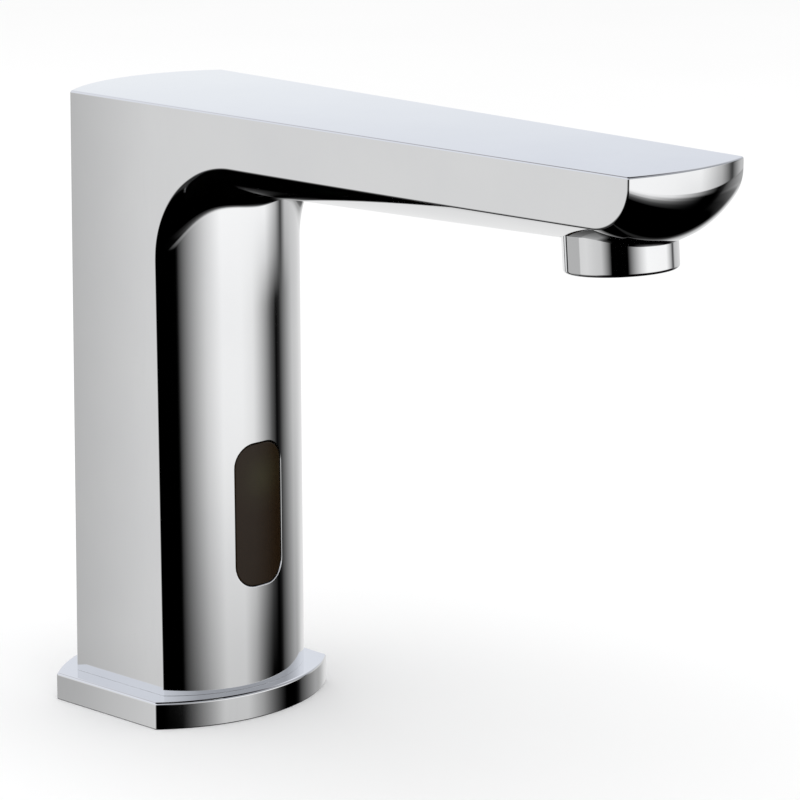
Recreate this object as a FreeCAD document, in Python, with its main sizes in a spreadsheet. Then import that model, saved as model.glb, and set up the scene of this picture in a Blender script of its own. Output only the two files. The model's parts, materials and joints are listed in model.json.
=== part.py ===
import FreeCAD, Part
import math
import os

import Sketcher

# Sensor tap: a one-piece cast spout and column on a base flange, with a presence sensor behind a
# dark window, a pilot-operated solenoid valve above it and an aerator under the tip.
# Frame: millimetres, origin at the centre of the base on the deck, +X along the spout, +Z up.

SIZES = {
    # cast body: plan outline with flat tapering sides and bowed ends
    "height": 155.0,             # deck to the flat top
    "body_width": 49.2,          # across the flat sides, on the column's axis
    "side_taper": 1.9,           # degrees that each flat side closes in towards the tip
    "foot_half_flat": 15.8,      # half the flat side's length at the foot
    "head_half_flat": 14.5,      # the same at the top
    "back_bow": 44.0,            # radius of the bowed back
    "front_bow": 33.0,           # radius of the bowed front and underside
    "tip_reach": 162.0,          # column axis to the tip's corners
    "tip_bow": 64.0,             # radius of the tip in plan
    "root_edge": 13.0,           # flat side's height where the spout leaves the column
    "tip_edge": 12.5,            # the same at the tip
    "inner_corner": 26.5,        # radius between column and spout, on the flat side
    "tip_corner": 10.5,          # radius under the tip, on the flat side
    "top_round": 0.6,            # rounding of the flat top's rim
    "body_wall": 3.0,            # cast wall
    # base flange
    "flange_thick": 7.0,
    "flange_half_flat": 18.7,
    "flange_rim": 5.2,           # ledge beside the flat sides
    "flange_bow": 45.0,
    "flange_break": 0.5,         # bevel round the flange's top
    "locating_rim": 3.0,         # height of the rim that centres the body
    "locating_gap": 0.15,
    "locating_wall": 2.0,
    "gasket_inset": 2.0,         # flange edge to the gasket's groove
    "gasket_width": 3.0,
    "gasket_depth": 2.0,
    "screw_x": 9.5,              # flange screws
    "screw_y": 15.3,
    "screw_hole": 2.0,           # radius of the tapped holes
    "screw_head": 3.6,
    "screw_head_deep": 2.6,
    "screw_into_body": 9.0,
    "boss_radius": 4.5,
    "boss_height": 14.0,
    "thread_gap": 0.05,          # screws in their holes, at the radius
    "stud_x": 9.0,
    "stud_y": -7.0,
    "stud_hole": 4.0,
    # presence sensor
    "sensor_height": 51.0,       # centre of the window above the deck
    "window_width": 15.0,
    "window_tall": 36.0,
    "window_corner": 5.5,
    "window_gap": 0.15,
    "window_sunk": 0.15,         # window face behind the chrome
    "sensor_seat": 18.0,         # plane of the flat seat inside the front wall
    "seat_margin": 6.5,
    "lip_margin": 3.0,
    "lip_thick": 1.5,
    "seal_thick": 1.0,
    "housing_deep": 10.0,
    "ear_long": 7.5,
    "ear_wide": 10.0,
    "ear_deep": 7.0,
    "ear_gap": 0.3,
    "screw_clear": 0.15,         # screws in the holes that they pass through
    "sensor_screw": 1.25,
    "sensor_screw_head": 2.3,
    "sensor_screw_head_tall": 1.6,
    "sensor_screw_bite": 3.0,
    "board_thick": 1.6,
    "board_margin": 2.0,         # housing wall round the board
    "board_pocket": 3.0,
    "eye_radius": 2.5,           # emitter and receiver
    "eye_gap": 0.15,
    "eye_spread": 18.0,
    "plug_tall": 7.0,            # connectors on the board
    "plug_wide": 7.0,
    "plug_deep": 6.0,
    "plug_spread": 22.0,
    "plug_y": 4.5,
    "cable_radius": 1.3,
    "grommet_radius": 4.0,
    "grommet_lip": 1.2,
    # water inlet
    "inlet_x": -11.0,
    "inlet_thread": 5.0,
    "inlet_outer": 6.2,
    "inlet_hole_gap": 0.1,
    "deck_recess": 0.6,          # lowest fittings stay this far above the deck plane
    "inlet_shoulder": 7.2,
    "shoulder_thick": 3.0,
    "inlet_thread_deep": 9.4,
    "filter_thick": 1.0,
    "filter_step": 0.35,         # filter's seat inside the thread's radius
    "filter_pitch": 1.4,
    "filter_hole": 0.45,
    "filter_rows": 2,            # rows of holes each side of the middle one
    "web_thick": 3.0,
    "seat_hole": 3.0,
    "check_chamber": 4.6,
    "inlet_top": 40.0,
    "feed_radius": 4.5,
    "feed_wall": 1.0,
    "feed_start": 30.0,
    "poppet_radius": 4.2,
    "poppet_thick": 2.0,
    "poppet_stem": 1.2,
    "stem_gap": 0.06,            # stem in its guide, at the radius
    "poppet_shoulder": 2.0,      # stops the poppet against its guide
    "check_travel": 2.5,
    "guide_thick": 1.6,
    "guide_slot": 1.1,           # radius of the guide's flow holes
    "guide_slot_ring": 3.0,
    "check_wire": 0.3,
    "check_coil": 2.6,
    "check_turns": 6,
    # solenoid valve
    "valve_x": -3.0,
    "valve_over_sensor": 33.0,   # window's centre to the valve's base
    "valve_tall": 14.0,
    "valve_radius": 13.0,
    "valve_boss_tall": 11.0,     # boss over the feed tube
    "port_hole": 2.2,
    "groove_inner": 5.5,
    "groove_outer": 10.4,
    "groove_deep": 5.0,
    "valve_seat_hole": 2.6,
    "cross_hole": 2.4,
    "outlet_x": 14.0,
    "outlet_level": 5.0,         # centre of the cross bore above the valve's base
    "outlet_boss": 5.5,
    "socket_gap": 0.1,
    "valve_ear_thick": 4.0,
    "valve_ear_wide": 8.0,
    "valve_ear_reach": 19.5,
    "valve_screw_y": 16.6,
    "valve_screw": 1.5,
    "valve_screw_head": 2.6,
    "valve_screw_head_tall": 2.0,
    "valve_screw_bite": 6.0,
    "lug_tall": 9.0,
    "lug_inner": 14.2,
    "diaphragm_thick": 1.2,
    "diaphragm_plug": 4.6,
    "chamber_gap": 0.15,         # diaphragm's centre in the cover
    "diaphragm_lift": 0.4,       # room for its flexing, above the centre
    "cover_thick": 4.0,
    "cover_screw_ring": 11.45,
    "cover_screw": 0.8,
    "cover_screw_head": 1.5,
    "cover_screw_head_tall": 0.9,
    "cover_screw_bite": 5.0,
    "core_radius": 3.9,
    "core_wall": 0.7,
    "core_flange": 6.0,
    "core_flange_thick": 1.0,
    "core_tall": 21.0,
    "plunger_gap": 0.06,
    "plunger_tall": 14.0,
    "plunger_travel": 1.6,
    "plunger_tip": 2.2,          # radius of the face on the diaphragm
    "plunger_bore": 2.2,         # radius of the spring's pocket
    "plunger_bore_deep": 8.0,
    "plunger_wire": 0.25,
    "plunger_coil": 1.75,
    "plunger_turns": 5,
    "yoke_thick": 1.3,
    "yoke_half": 6.4,
    "yoke_front": 8.5,
    "coil_radius": 10.5,
    "coil_tall": 15.0,
    "bobbin_flange": 1.0,
    "bobbin_wall": 1.0,
    "winding_inset": 0.8,
    "nut_half": 5.5,             # nut's half size across its flats
    "nut_thick": 3.0,
    "lead_radius": 0.9,
    "lead_x": 6.2,
    "lead_y": 11.3,
    "lead_bend": 5.4,            # radius of the lead's bends
    "terminal_tall": 5.0,
    "terminal_size": 7.5,
    # spout waterway
    "outlet_tube": 3.5,
    "outlet_tube_wall": 0.7,
    "outlet_bend": 14.0,
    "tube_under_top": 7.5,       # tube's centre below the top face
    "tube_bite": 5.5,
    "aerator_block": 19.5,       # aerator's centre to the end of the spout's hollow
    "ring_wire": 0.6,
    "ring_inset": 3.0,
    # aerator
    "aerator_back": 18.5,        # tip's corners to the aerator's centre
    "aerator_drop": 25.4,        # flat top to the collar's rim
    "aerator_tilt": 4.6,
    "collar_radius": 13.0,
    "collar_tall": 9.1,
    "collar_gap": 0.3,
    "collar_round": 0.8,
    "neck_radius": 12.0,
    "neck_gap": 0.05,
    "neck_tall": 5.4,
    "insert_radius": 10.4,
    "insert_gap": 0.1,
    "insert_rise": 1.5,          # collar's rim to the insert
    "rim_radius": 9.4,
    "rib_thick": 0.7,
    "rib_pitch": 2.4,
    "grid_tall": 5.0,
    "screen_thick": 1.0,
    "screen_hole": 0.9,
    "screen_pitch": 2.4,
    "screen_rows": 2,
    "washer_thick": 1.6,
    "washer_inner": 8.0,
    "washer_gap": 0.15,
    "chamber_radius": 7.0,
    "chamber_tall": 5.6,
}

doc = FreeCAD.newDocument("SensorTap")
sheet = doc.addObject("Spreadsheet::Sheet", "Sizes")
for row, (word, amount) in enumerate(SIZES.items(), start=1):
    sheet.set("A%d" % row, word)
    sheet.set("B%d" % row, repr(amount))
    sheet.setAlias("B%d" % row, word)
doc.recompute()


class Size:
    """A size worked out from the sheet: its number, and the expression that binds it."""

    def __init__(self, number, text):
        self.number = number
        self.text = text

    def __add__(self, other):
        return Size(self.number + number(other), "(%s + %s)" % (self.text, text(other)))

    def __radd__(self, other):
        return Size(number(other) + self.number, "(%s + %s)" % (text(other), self.text))

    def __sub__(self, other):
        return Size(self.number - number(other), "(%s - %s)" % (self.text, text(other)))

    def __rsub__(self, other):
        return Size(number(other) - self.number, "(%s - %s)" % (text(other), self.text))

    def __mul__(self, other):
        return Size(self.number * number(other), "(%s * %s)" % (self.text, text(other)))

    __rmul__ = __mul__

    def __truediv__(self, other):
        return Size(self.number / number(other), "(%s / %s)" % (self.text, text(other)))

    def __neg__(self):
        return Size(-self.number, "(0 - %s)" % self.text)


def number(value):
    return value.number if isinstance(value, Size) else float(value)


def text(value):
    return value.text if isinstance(value, Size) else repr(float(value))


def root(value):
    return Size(math.sqrt(number(value)), "sqrt(%s)" % text(value))


def tangent(angle):
    return Size(math.tan(math.radians(number(angle))), "tan(%s)" % text(angle))


def cosine(angle):
    return Size(math.cos(math.radians(number(angle))), "cos(%s)" % text(angle))


def sheet_size(word):
    return Size(float(sheet.get(word)), "Sizes." + word)


class Sheet:
    """Reads sizes as attributes: s.height is the sheet's height."""

    def __getattr__(self, word):
        return sheet_size(word)


s = Sheet()


# ---------------------------------------------------------------- places that follow the body

def aerator_x():
    """The aerator keeps its distance from the tip."""
    return s.tip_reach - s.aerator_back


def aerator_bottom():
    return s.height - s.aerator_drop


def core_end():
    """Far end of the spout's hollow, before the aerator's block."""
    return aerator_x() - s.aerator_block


def valve_base():
    """The valve stands over the sensor."""
    return s.sensor_height + s.valve_over_sensor


# ---------------------------------------------------------------- document helpers

def bind(item, path, value):
    """Set one property, and tie it to the sheet where it is a size."""
    if "." not in path:
        setattr(item, path, number(value))
    if isinstance(value, Size):
        item.setExpression(path, value.text)


def move(item, at, turn=None):
    """Place an object at three sizes, after an optional turn."""
    base = FreeCAD.Vector(*[number(value) for value in at])
    item.Placement = FreeCAD.Placement(base, turn or FreeCAD.Rotation())
    for letter, value in zip("xyz", at):
        bind(item, "Placement.Base." + letter, value)
    return item


TURNS = {
    "z": FreeCAD.Rotation(),
    "x": FreeCAD.Rotation(FreeCAD.Vector(0, 1, 0), 90),
    "-x": FreeCAD.Rotation(FreeCAD.Vector(0, 1, 0), -90),
}


def cylinder(name, radius, tall, at, axis="z"):
    item = doc.addObject("Part::Cylinder", name)
    bind(item, "Radius", radius)
    bind(item, "Height", tall)
    return move(item, at, TURNS[axis])


def box(name, low, high):
    """A box between two corners."""
    item = doc.addObject("Part::Box", name)
    for prop, start, end in zip(("Length", "Width", "Height"), low, high):
        bind(item, prop, end - start)
    return move(item, low)


def boolean(kind, name, items):
    item = doc.addObject(kind, name)
    item.Shapes = items
    return item


def fuse(name, *items):
    return boolean("Part::MultiFuse", name, list(items))


def common(name, *items):
    return boolean("Part::MultiCommon", name, list(items))


def group(name, *items):
    """Separate solids that share a node."""
    item = doc.addObject("Part::Compound", name)
    item.Links = list(items)
    return item


def cut(name, base, *tools):
    item = doc.addObject("Part::Cut", name)
    item.Base = base
    item.Tool = tools[0] if len(tools) == 1 else fuse(name + "_tools", *tools)
    return item


def ring(name, outer, inner, tall, at, axis="z"):
    """A plain sleeve or washer."""
    return cut(name, cylinder(name + "_outer", outer, tall, at, axis),
               cylinder(name + "_inner", inner, tall, at, axis))


NODES = []


def node(name, item):
    """Name a finished piece: its label is its file's name."""
    item.Label = name
    NODES.append(item)
    return item


# ---------------------------------------------------------------- sketch helpers

def sketch_on(body, role, name, offset=None):
    """A sketch on one of a body's own origin planes, moved by three sizes."""
    sketch = body.newObject("Sketcher::SketchObject", name)
    plane = [item for item in body.Origin.OriginFeatures if item.Role == role][0]
    sketch.AttachmentSupport = [(plane, "")]
    sketch.MapMode = "FlatFace"
    if offset:
        base = FreeCAD.Vector(*[number(value) for value in offset])
        sketch.AttachmentOffset = FreeCAD.Placement(base, FreeCAD.Rotation())
        for letter, value in zip("xyz", offset):
            bind(sketch, "AttachmentOffset.Base." + letter, value)
    return sketch


def pin_point(sketch, edge, end, x, y):
    """Fix one end of an edge at two sizes from the sketch's origin."""
    for kind, value in (("DistanceX", x), ("DistanceY", y)):
        index = sketch.addConstraint(Sketcher.Constraint(kind, -1, 1, edge, end, number(value)))
        if isinstance(value, Size):
            sketch.setExpression("Constraints[%d]" % index, value.text)


def pin_radius(sketch, edge, value):
    index = sketch.addConstraint(Sketcher.Constraint("Radius", edge, number(value)))
    if isinstance(value, Size):
        sketch.setExpression("Constraints[%d]" % index, value.text)


def arc_between(start, end, radius):
    """Anticlockwise arc of under half a circle from start to end."""
    chord = end - start
    half = chord.Length / 2
    rise = math.sqrt(max(radius * radius - half * half, 0.0))
    middle = (start + end) * 0.5
    centre = middle + FreeCAD.Vector(-chord.y, chord.x, 0).normalize() * rise
    first = math.atan2(start.y - centre.y, start.x - centre.x)
    last = math.atan2(end.y - centre.y, end.x - centre.x)
    if last < first:
        last += 2 * math.pi
    return Part.ArcOfCircle(Part.Circle(centre, FreeCAD.Vector(0, 0, 1), radius), first, last)


def outline(sketch, corners):
    """Closed outline. Each corner is x, y and the radius of the arc to the next corner:
    None for a straight edge, and less than zero where the arc bends inwards."""
    points = [FreeCAD.Vector(number(x), number(y), 0) for x, y, bow in corners]
    ends = []
    for index, (x, y, bow) in enumerate(corners):
        start = points[index]
        end = points[(index + 1) % len(points)]
        if bow is None:
            edge = sketch.addGeometry(Part.LineSegment(start, end))
            ends.append((edge, 1, 2))
        elif number(bow) > 0:
            edge = sketch.addGeometry(arc_between(start, end, number(bow)))
            ends.append((edge, 1, 2))
        else:
            edge = sketch.addGeometry(arc_between(end, start, -number(bow)))
            ends.append((edge, 2, 1))
    for index, (edge, first, last) in enumerate(ends):
        following, its_first, its_last = ends[(index + 1) % len(ends)]
        sketch.addConstraint(Sketcher.Constraint("Coincident", edge, last, following, its_first))
    for (x, y, bow), (edge, first, last) in zip(corners, ends):
        pin_point(sketch, edge, first, x, y)
        if bow is not None:
            pin_radius(sketch, edge, bow if number(bow) > 0 else -bow)
    return sketch


def rounded_corners(half_wide, half_tall, radius):
    """Corners of a rectangle with rounded corners, about the sketch's origin."""
    flat_x = half_wide - radius
    flat_y = half_tall - radius
    return [
        (-flat_x, -half_tall, None), (flat_x, -half_tall, radius),
        (half_wide, -flat_y, None), (half_wide, flat_y, radius),
        (flat_x, half_tall, None), (-flat_x, half_tall, radius),
        (-half_wide, flat_y, None), (-half_wide, -flat_y, radius),
    ]


def pad(name, role, offset, corners, length):
    """A body with one padded outline."""
    body = doc.addObject("PartDesign::Body", name)
    sketch = outline(sketch_on(body, role, name + "_sketch", offset), corners)
    feature = body.newObject("PartDesign::Pad", name + "_pad")
    feature.Profile = sketch
    bind(feature, "Length", length)
    return body


def turned(name, corners, at=(0, 0, 0)):
    """A turned piece: its half section is x as radius and y as height."""
    body = doc.addObject("PartDesign::Body", name)
    sketch = outline(sketch_on(body, "XZ_Plane", name + "_sketch"), corners)
    feature = body.newObject("PartDesign::Revolution", name + "_turn")
    feature.Profile = sketch
    feature.ReferenceAxis = (sketch, ["V_Axis"])
    feature.Angle = 360.0
    return move(body, at)


def loft(name, role, sections):
    """A body lofted through outlines, each with its offset."""
    body = doc.addObject("PartDesign::Body", name)
    sketches = []
    for index, (offset, corners) in enumerate(sections):
        label = "%s_section%d" % (name, index)
        sketches.append(outline(sketch_on(body, role, label, offset), corners))
    feature = body.newObject("PartDesign::AdditiveLoft", name + "_loft")
    feature.Profile = sketches[0]
    feature.Sections = sketches[1:]
    feature.Ruled = True
    return body


# ---------------------------------------------------------------- shared plan geometry

def half_width(x):
    """Flat side's distance from the middle plane at a station along the spout."""
    return s.body_width / 2 - tangent(s.side_taper) * x


def bow_rise(radius, half):
    """How far a bow stands out beyond its own chord."""
    return radius - root(radius * radius - half * half)


def inset_half_width(x, inset):
    return half_width(x) - inset / cosine(s.side_taper)


def inset_corner(half_flat, bow, inset, side):
    """Corner of the column's outline moved inwards, on one side (+1 front, -1 back)."""
    centre = half_flat - root(bow * bow - half_width(half_flat * side) * half_width(half_flat * side))
    half = inset_half_width(half_flat * side, inset)
    along = centre + root((bow - inset) * (bow - inset) - half * half)
    return along * side, inset_half_width(along * side, inset)


def column_outline(half_flat, inset):
    front_x, front_y = inset_corner(half_flat, s.front_bow, inset, 1)
    back_x, back_y = inset_corner(half_flat, s.back_bow, inset, -1)
    return [
        (front_x, -front_y, s.front_bow - inset),
        (front_x, front_y, None),
        (back_x, back_y, s.back_bow - inset),
        (back_x, -back_y, None),
    ]


def half_flat_at(level):
    """Half the flat side's length at a height: the column narrows evenly upwards."""
    share = (level - s.flange_thick) / (s.height - s.flange_thick)
    return s.foot_half_flat + (s.head_half_flat - s.foot_half_flat) * share


def front_crest(level):
    """Front of the column on the middle plane."""
    half_flat = half_flat_at(level)
    return half_flat + bow_rise(s.front_bow, half_width(half_flat))


root_x = half_flat_at(s.height - s.root_edge)
root_z = s.height - s.root_edge
root_rise = bow_rise(s.front_bow, half_width(root_x))
tip_rise = bow_rise(s.front_bow, half_width(s.tip_reach))
chord_tip_z = s.height - s.tip_edge + root_rise - tip_rise
chord_slope = (chord_tip_z - root_z) / (s.tip_reach - root_x)


# ---------------------------------------------------------------- cast body

def sweep_reach():
    """Half width of the swept section, wider than the body at any station."""
    return s.body_width / 2 + s.body_wall


def swept_skin():
    """Column front, inner corner and spout underside as one bowed sweep."""
    body = doc.addObject("PartDesign::Body", "swept_skin")
    reach = sweep_reach()
    centre = s.foot_half_flat - root(
        s.front_bow * s.front_bow - half_width(s.foot_half_flat) * half_width(s.foot_half_flat))
    front = centre + root(s.front_bow * s.front_bow - reach * reach)
    back = -(s.foot_half_flat * 2 + s.inner_corner / 2)
    section = outline(sketch_on(body, "XY_Plane", "skin_section", (0, 0, s.flange_thick)), [
        (front, -reach, s.front_bow), (front, reach, None),
        (back, reach, None), (back, -reach, None)])
    path = sketch_on(body, "XZ_Plane", "skin_path")
    end_x = s.tip_reach + s.tip_corner
    end_z = chord_tip_z + chord_slope * s.tip_corner
    radius = number(s.inner_corner)
    low = FreeCAD.Vector(number(s.foot_half_flat), number(s.flange_thick), 0)
    corner = FreeCAD.Vector(number(root_x), number(root_z), 0)
    end = FreeCAD.Vector(number(end_x), number(end_z), 0)
    turn = (corner - low).getAngle(end - corner)
    stretch = radius * math.tan(turn / 2)
    first = corner + (low - corner).normalize() * stretch
    last = corner + (end - corner).normalize() * stretch
    upright = path.addGeometry(Part.LineSegment(low, first))
    bend = path.addGeometry(arc_between(last, first, radius))
    along = path.addGeometry(Part.LineSegment(last, end))
    guide = path.addGeometry(Part.Point(corner), True)
    path.addConstraint(Sketcher.Constraint("Tangent", upright, 2, bend, 2))
    path.addConstraint(Sketcher.Constraint("Tangent", bend, 1, along, 1))
    path.addConstraint(Sketcher.Constraint("PointOnObject", guide, 1, upright))
    path.addConstraint(Sketcher.Constraint("PointOnObject", guide, 1, along))
    pin_radius(path, bend, s.inner_corner)
    pin_point(path, upright, 1, s.foot_half_flat, s.flange_thick)
    pin_point(path, along, 2, end_x, end_z)
    pin_point(path, guide, 1, root_x, root_z)
    sweep = body.newObject("PartDesign::AdditivePipe", "skin_sweep")
    sweep.Profile = section
    sweep.Spine = (path, ["Edge1", "Edge2", "Edge3"])
    return body


def plan_prism():
    """The whole plan outline, from the flange to the flat top."""
    sections = []
    for level, half_flat in ((s.flange_thick, s.foot_half_flat), (s.height, s.head_half_flat)):
        back_y = half_width(-half_flat)
        tip_y = half_width(s.tip_reach)
        sections.append(((0, 0, level), [
            (-half_flat, -back_y, None), (s.tip_reach, -tip_y, s.tip_bow),
            (s.tip_reach, tip_y, None), (-half_flat, back_y, s.back_bow)]))
    return loft("plan_prism", "XY_Plane", sections)


def body_core():
    """The casting's hollow: column and spout, less the bosses that stand in it."""
    top = s.height - s.body_wall
    column = loft("column_core", "XY_Plane", [
        ((0, 0, s.flange_thick), column_outline(s.foot_half_flat, s.body_wall)),
        ((0, 0, top), column_outline(half_flat_at(top), s.body_wall))])
    sections = []
    for x in (s.foot_half_flat / 2, core_end()):
        half = inset_half_width(x, s.body_wall)
        bow = s.front_bow - s.body_wall
        centre = root_z + chord_slope * (x - root_x) - root_rise + s.front_bow
        low = centre - root(bow * bow - half * half)
        sections.append(((0, 0, x), [
            (-half, low, bow), (half, low, None), (half, top, None), (-half, top, None)]))
    spout = loft("spout_core", "YZ_Plane", sections)
    seat_half_y = s.window_width / 2 + s.seat_margin
    seat_half_z = s.window_tall / 2 + s.seat_margin + s.ear_long
    seat = box("sensor_seat_boss",
               (s.sensor_seat, -seat_half_y, s.sensor_height - seat_half_z),
               (front_crest(s.sensor_height), seat_half_y, s.sensor_height + seat_half_z))
    ends = foot_bosses("body_boss", 0, s.boss_height)
    lug_base = valve_base() + s.valve_tall
    lugs = []
    for index, side in enumerate((-1, 1)):
        near = s.lug_inner * side
        far = s.body_width / 2 * side
        low_y, high_y = (near, far) if side > 0 else (far, near)
        lugs.append(box("valve_lug%d" % index,
                        (s.valve_x - s.valve_ear_wide / 2, low_y, lug_base),
                        (s.valve_x + s.valve_ear_wide / 2, high_y, lug_base + s.lug_tall)))
    return cut("body_core", fuse("core_hollow", column, spout), seat, *ends, *lugs)


def foot_bosses(name, grow, tall):
    """Bosses for the flange screws, each joined to the side wall by a web."""
    bosses = []
    radius = s.boss_radius + grow
    for index, (x, y) in enumerate(flange_screw_places()):
        wall = s.body_width / 2 * (1 if number(y) > 0 else -1)
        low_y, high_y = (y, wall) if number(y) > 0 else (wall, y)
        bosses.append(cylinder("%s%d" % (name, index), radius, tall, (x, y, s.flange_thick)))
        bosses.append(box("%s_web%d" % (name, index), (x - radius, low_y, s.flange_thick),
                          (x + radius, high_y, s.flange_thick + tall)))
    return bosses


def flange_screw_places():
    return [(s.screw_x * x, s.screw_y * y) for x in (-1, 1) for y in (-1, 1)]


def ear_screw_heights():
    """Sensor housing screws, above and below the window."""
    rise = s.window_tall / 2 + s.lip_margin + s.ear_gap + s.ear_long / 2
    return [s.sensor_height - rise, s.sensor_height + rise]


def valve_screw_places():
    return [(s.valve_x, -s.valve_screw_y), (s.valve_x, s.valve_screw_y)]


def aerator_place(item, level):
    """Put a piece on the aerator's tilted axis, a distance up from the collar's rim."""
    turn = FreeCAD.Rotation(FreeCAD.Vector(0, -1, 0), number(s.aerator_tilt))
    item.Placement = FreeCAD.Placement(FreeCAD.Vector(0, 0, 0), turn)
    item.setExpression("Placement.Rotation.Angle", text(s.aerator_tilt))
    slope = tangent(s.aerator_tilt)
    lean = cosine(s.aerator_tilt)
    bind(item, "Placement.Base.x", aerator_x() - slope * lean * level)
    bind(item, "Placement.Base.z", aerator_bottom() + lean * level)
    return item


def aerator_cylinder(name, radius, tall, level):
    return aerator_place(cylinder(name, radius, tall, (0, 0, 0)), level)


def pick_edges(shape, wanted):
    return ["Edge%d" % (index + 1) for index, edge in enumerate(shape.Edges) if wanted(edge)]


def outer_body():
    """Sweep and plan outline together, rounded up under the tip and round the flat top's rim."""
    rough = common("rough_body", swept_skin(), plan_prism())
    doc.recompute()
    body = doc.addObject("PartDesign::Body", "outer_body")
    body.BaseFeature = rough
    doc.recompute()
    base = body.Group[0]
    above = number(s.height) - number(s.top_round)
    beyond = number(s.tip_reach) + number(s.top_round)
    tip = body.newObject("PartDesign::Fillet", "tip_round")
    tip.Base = (base, pick_edges(base.Shape, lambda edge: edge.BoundBox.XMax > beyond
                                 and edge.BoundBox.ZMax < above))
    bind(tip, "Radius", s.tip_corner)
    doc.recompute()
    rim = body.newObject("PartDesign::Fillet", "top_rim")
    rim.Base = (tip, pick_edges(tip.Shape, lambda edge: edge.BoundBox.ZMin > above))
    bind(rim, "Radius", s.top_round)
    return body


def body_casting():
    outer = outer_body()
    holes = []
    grown = rounded_corners(s.window_width / 2 + s.window_gap, s.window_tall / 2 + s.window_gap,
                            s.window_corner + s.window_gap)
    holes.append(pad("window_hole", "YZ_Plane", (0, s.sensor_height, s.sensor_seat - s.body_wall),
                     grown, s.front_bow))
    for index, (x, y) in enumerate(flange_screw_places()):
        holes.append(cylinder("foot_hole%d" % index, s.screw_hole, s.screw_into_body + s.body_wall,
                              (x, y, s.flange_thick - s.body_wall)))
    for index, z in enumerate(ear_screw_heights()):
        holes.append(cylinder("ear_hole%d" % index, s.sensor_screw + s.thread_gap,
                              s.sensor_screw_bite + s.body_wall,
                              (s.sensor_seat - s.body_wall, 0, z), "x"))
    for index, (x, y) in enumerate(valve_screw_places()):
        holes.append(cylinder("lug_hole%d" % index, s.valve_screw + s.thread_gap,
                              s.valve_screw_bite + s.valve_ear_thick,
                              (x, y, valve_base() + s.valve_tall - s.valve_ear_thick)))
    shoulder = s.collar_tall
    holes.append(aerator_cylinder("spot_face", s.collar_radius + s.collar_gap, s.collar_tall * 2,
                                  -shoulder))
    holes.append(aerator_cylinder("neck_hole", s.neck_radius, s.neck_tall + s.washer_thick, shoulder))
    holes.append(aerator_cylinder("water_chamber", s.chamber_radius, s.chamber_tall,
                                  shoulder + s.neck_tall + s.washer_thick))
    tube_z = s.height - s.tube_under_top
    holes.append(cylinder("tube_hole", s.outlet_tube + s.socket_gap,
                          aerator_x() - core_end() + s.body_wall,
                          (core_end() - s.body_wall, 0, tube_z), "x"))
    holes.append(cylinder("ring_groove", s.outlet_tube + s.socket_gap + s.ring_wire * 2,
                          s.ring_wire * 2 + s.socket_gap,
                          (core_end() + s.ring_inset, 0, tube_z), "x"))
    return node("body_casting", cut("casting", outer, body_core(), *holes)), outer


# ---------------------------------------------------------------- base flange

def flange_outline(inset):
    """Flange outline moved inwards."""
    corners = []
    side = s.flange_rim - inset
    half_flat = s.flange_half_flat
    rise = s.flange_bow - root(s.flange_bow * s.flange_bow
                               - inset_half_width(half_flat, -s.flange_rim)
                               * inset_half_width(half_flat, -s.flange_rim))
    crest = half_flat + rise - inset
    for way in (1, -1):
        half = inset_half_width(half_flat * way, -side)
        bow = s.flange_bow - inset
        along = crest - bow_rise(bow, half)
        corners.append((along * way, -half * way, bow))
        corners.append((along * way, half * way, None))
    return corners


def base_flange():
    plate = pad("flange_plate", "XY_Plane", (0, 0, 0), flange_outline(0), s.flange_thick)
    doc.recompute()
    top = number(s.flange_thick)
    plain = plate.Tip
    rim = plate.newObject("PartDesign::Chamfer", "flange_edge")
    rim.Base = (plain, pick_edges(plain.Shape, lambda edge: edge.BoundBox.ZMin > top / 2))
    bind(rim, "Size", s.flange_break)
    inside = s.body_wall + s.locating_gap
    rim_top = s.locating_rim
    raised = pad("locating_outer", "XY_Plane", (0, 0, s.flange_thick),
                 column_outline(s.foot_half_flat, inside), rim_top)
    hollow = pad("locating_inner", "XY_Plane", (0, 0, s.flange_thick),
                 column_outline(s.foot_half_flat, inside + s.locating_wall), rim_top)
    clear = foot_bosses("boss_clear", s.locating_gap, rim_top)
    locating = cut("locating_ring", raised, hollow, *clear)
    tools = []
    outer = pad("groove_outer", "XY_Plane", (0, 0, 0), flange_outline(s.gasket_inset),
                s.gasket_depth)
    inner = pad("groove_inner_wall", "XY_Plane", (0, 0, 0),
                flange_outline(s.gasket_inset + s.gasket_width), s.gasket_depth)
    tools.append(cut("gasket_groove", outer, inner))
    for index, (x, y) in enumerate(flange_screw_places()):
        tools.append(cylinder("flange_hole%d" % index, s.screw_hole + s.screw_clear,
                              s.flange_thick, (x, y, 0)))
        tools.append(cylinder("flange_sink%d" % index, s.screw_head + s.screw_clear,
                              s.screw_head_deep, (x, y, 0)))
    tools.append(cylinder("inlet_hole", s.inlet_outer + s.inlet_hole_gap, s.flange_thick,
                          (s.inlet_x, 0, 0)))
    tools.append(cylinder("stud_hole_tool", s.stud_hole, s.flange_thick, (s.stud_x, s.stud_y, 0)))
    tools.append(cylinder("grommet_hole", s.grommet_radius, s.flange_thick,
                          (cable_x(), s.plug_y, 0)))
    return node("base_flange", cut("flange", fuse("flange_blank", plate, locating), *tools))


def base_gasket():
    outer = pad("gasket_outer", "XY_Plane", (0, 0, 0), flange_outline(s.gasket_inset),
                s.gasket_depth)
    inner = pad("gasket_inner", "XY_Plane", (0, 0, 0),
                flange_outline(s.gasket_inset + s.gasket_width), s.gasket_depth)
    return node("base_gasket", cut("gasket", outer, inner))


def screw(name, radius, long, head, head_tall, at, axis="z"):
    """Round-headed screw: the head's outer face is at the given place."""
    if axis == "x":
        shank_at = (at[0] + head_tall, at[1], at[2])
    else:
        shank_at = (at[0], at[1], at[2] + head_tall)
    return fuse(name, cylinder(name + "_head", head, head_tall, at, axis),
                cylinder(name + "_shank", radius, long, shank_at, axis))


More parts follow.
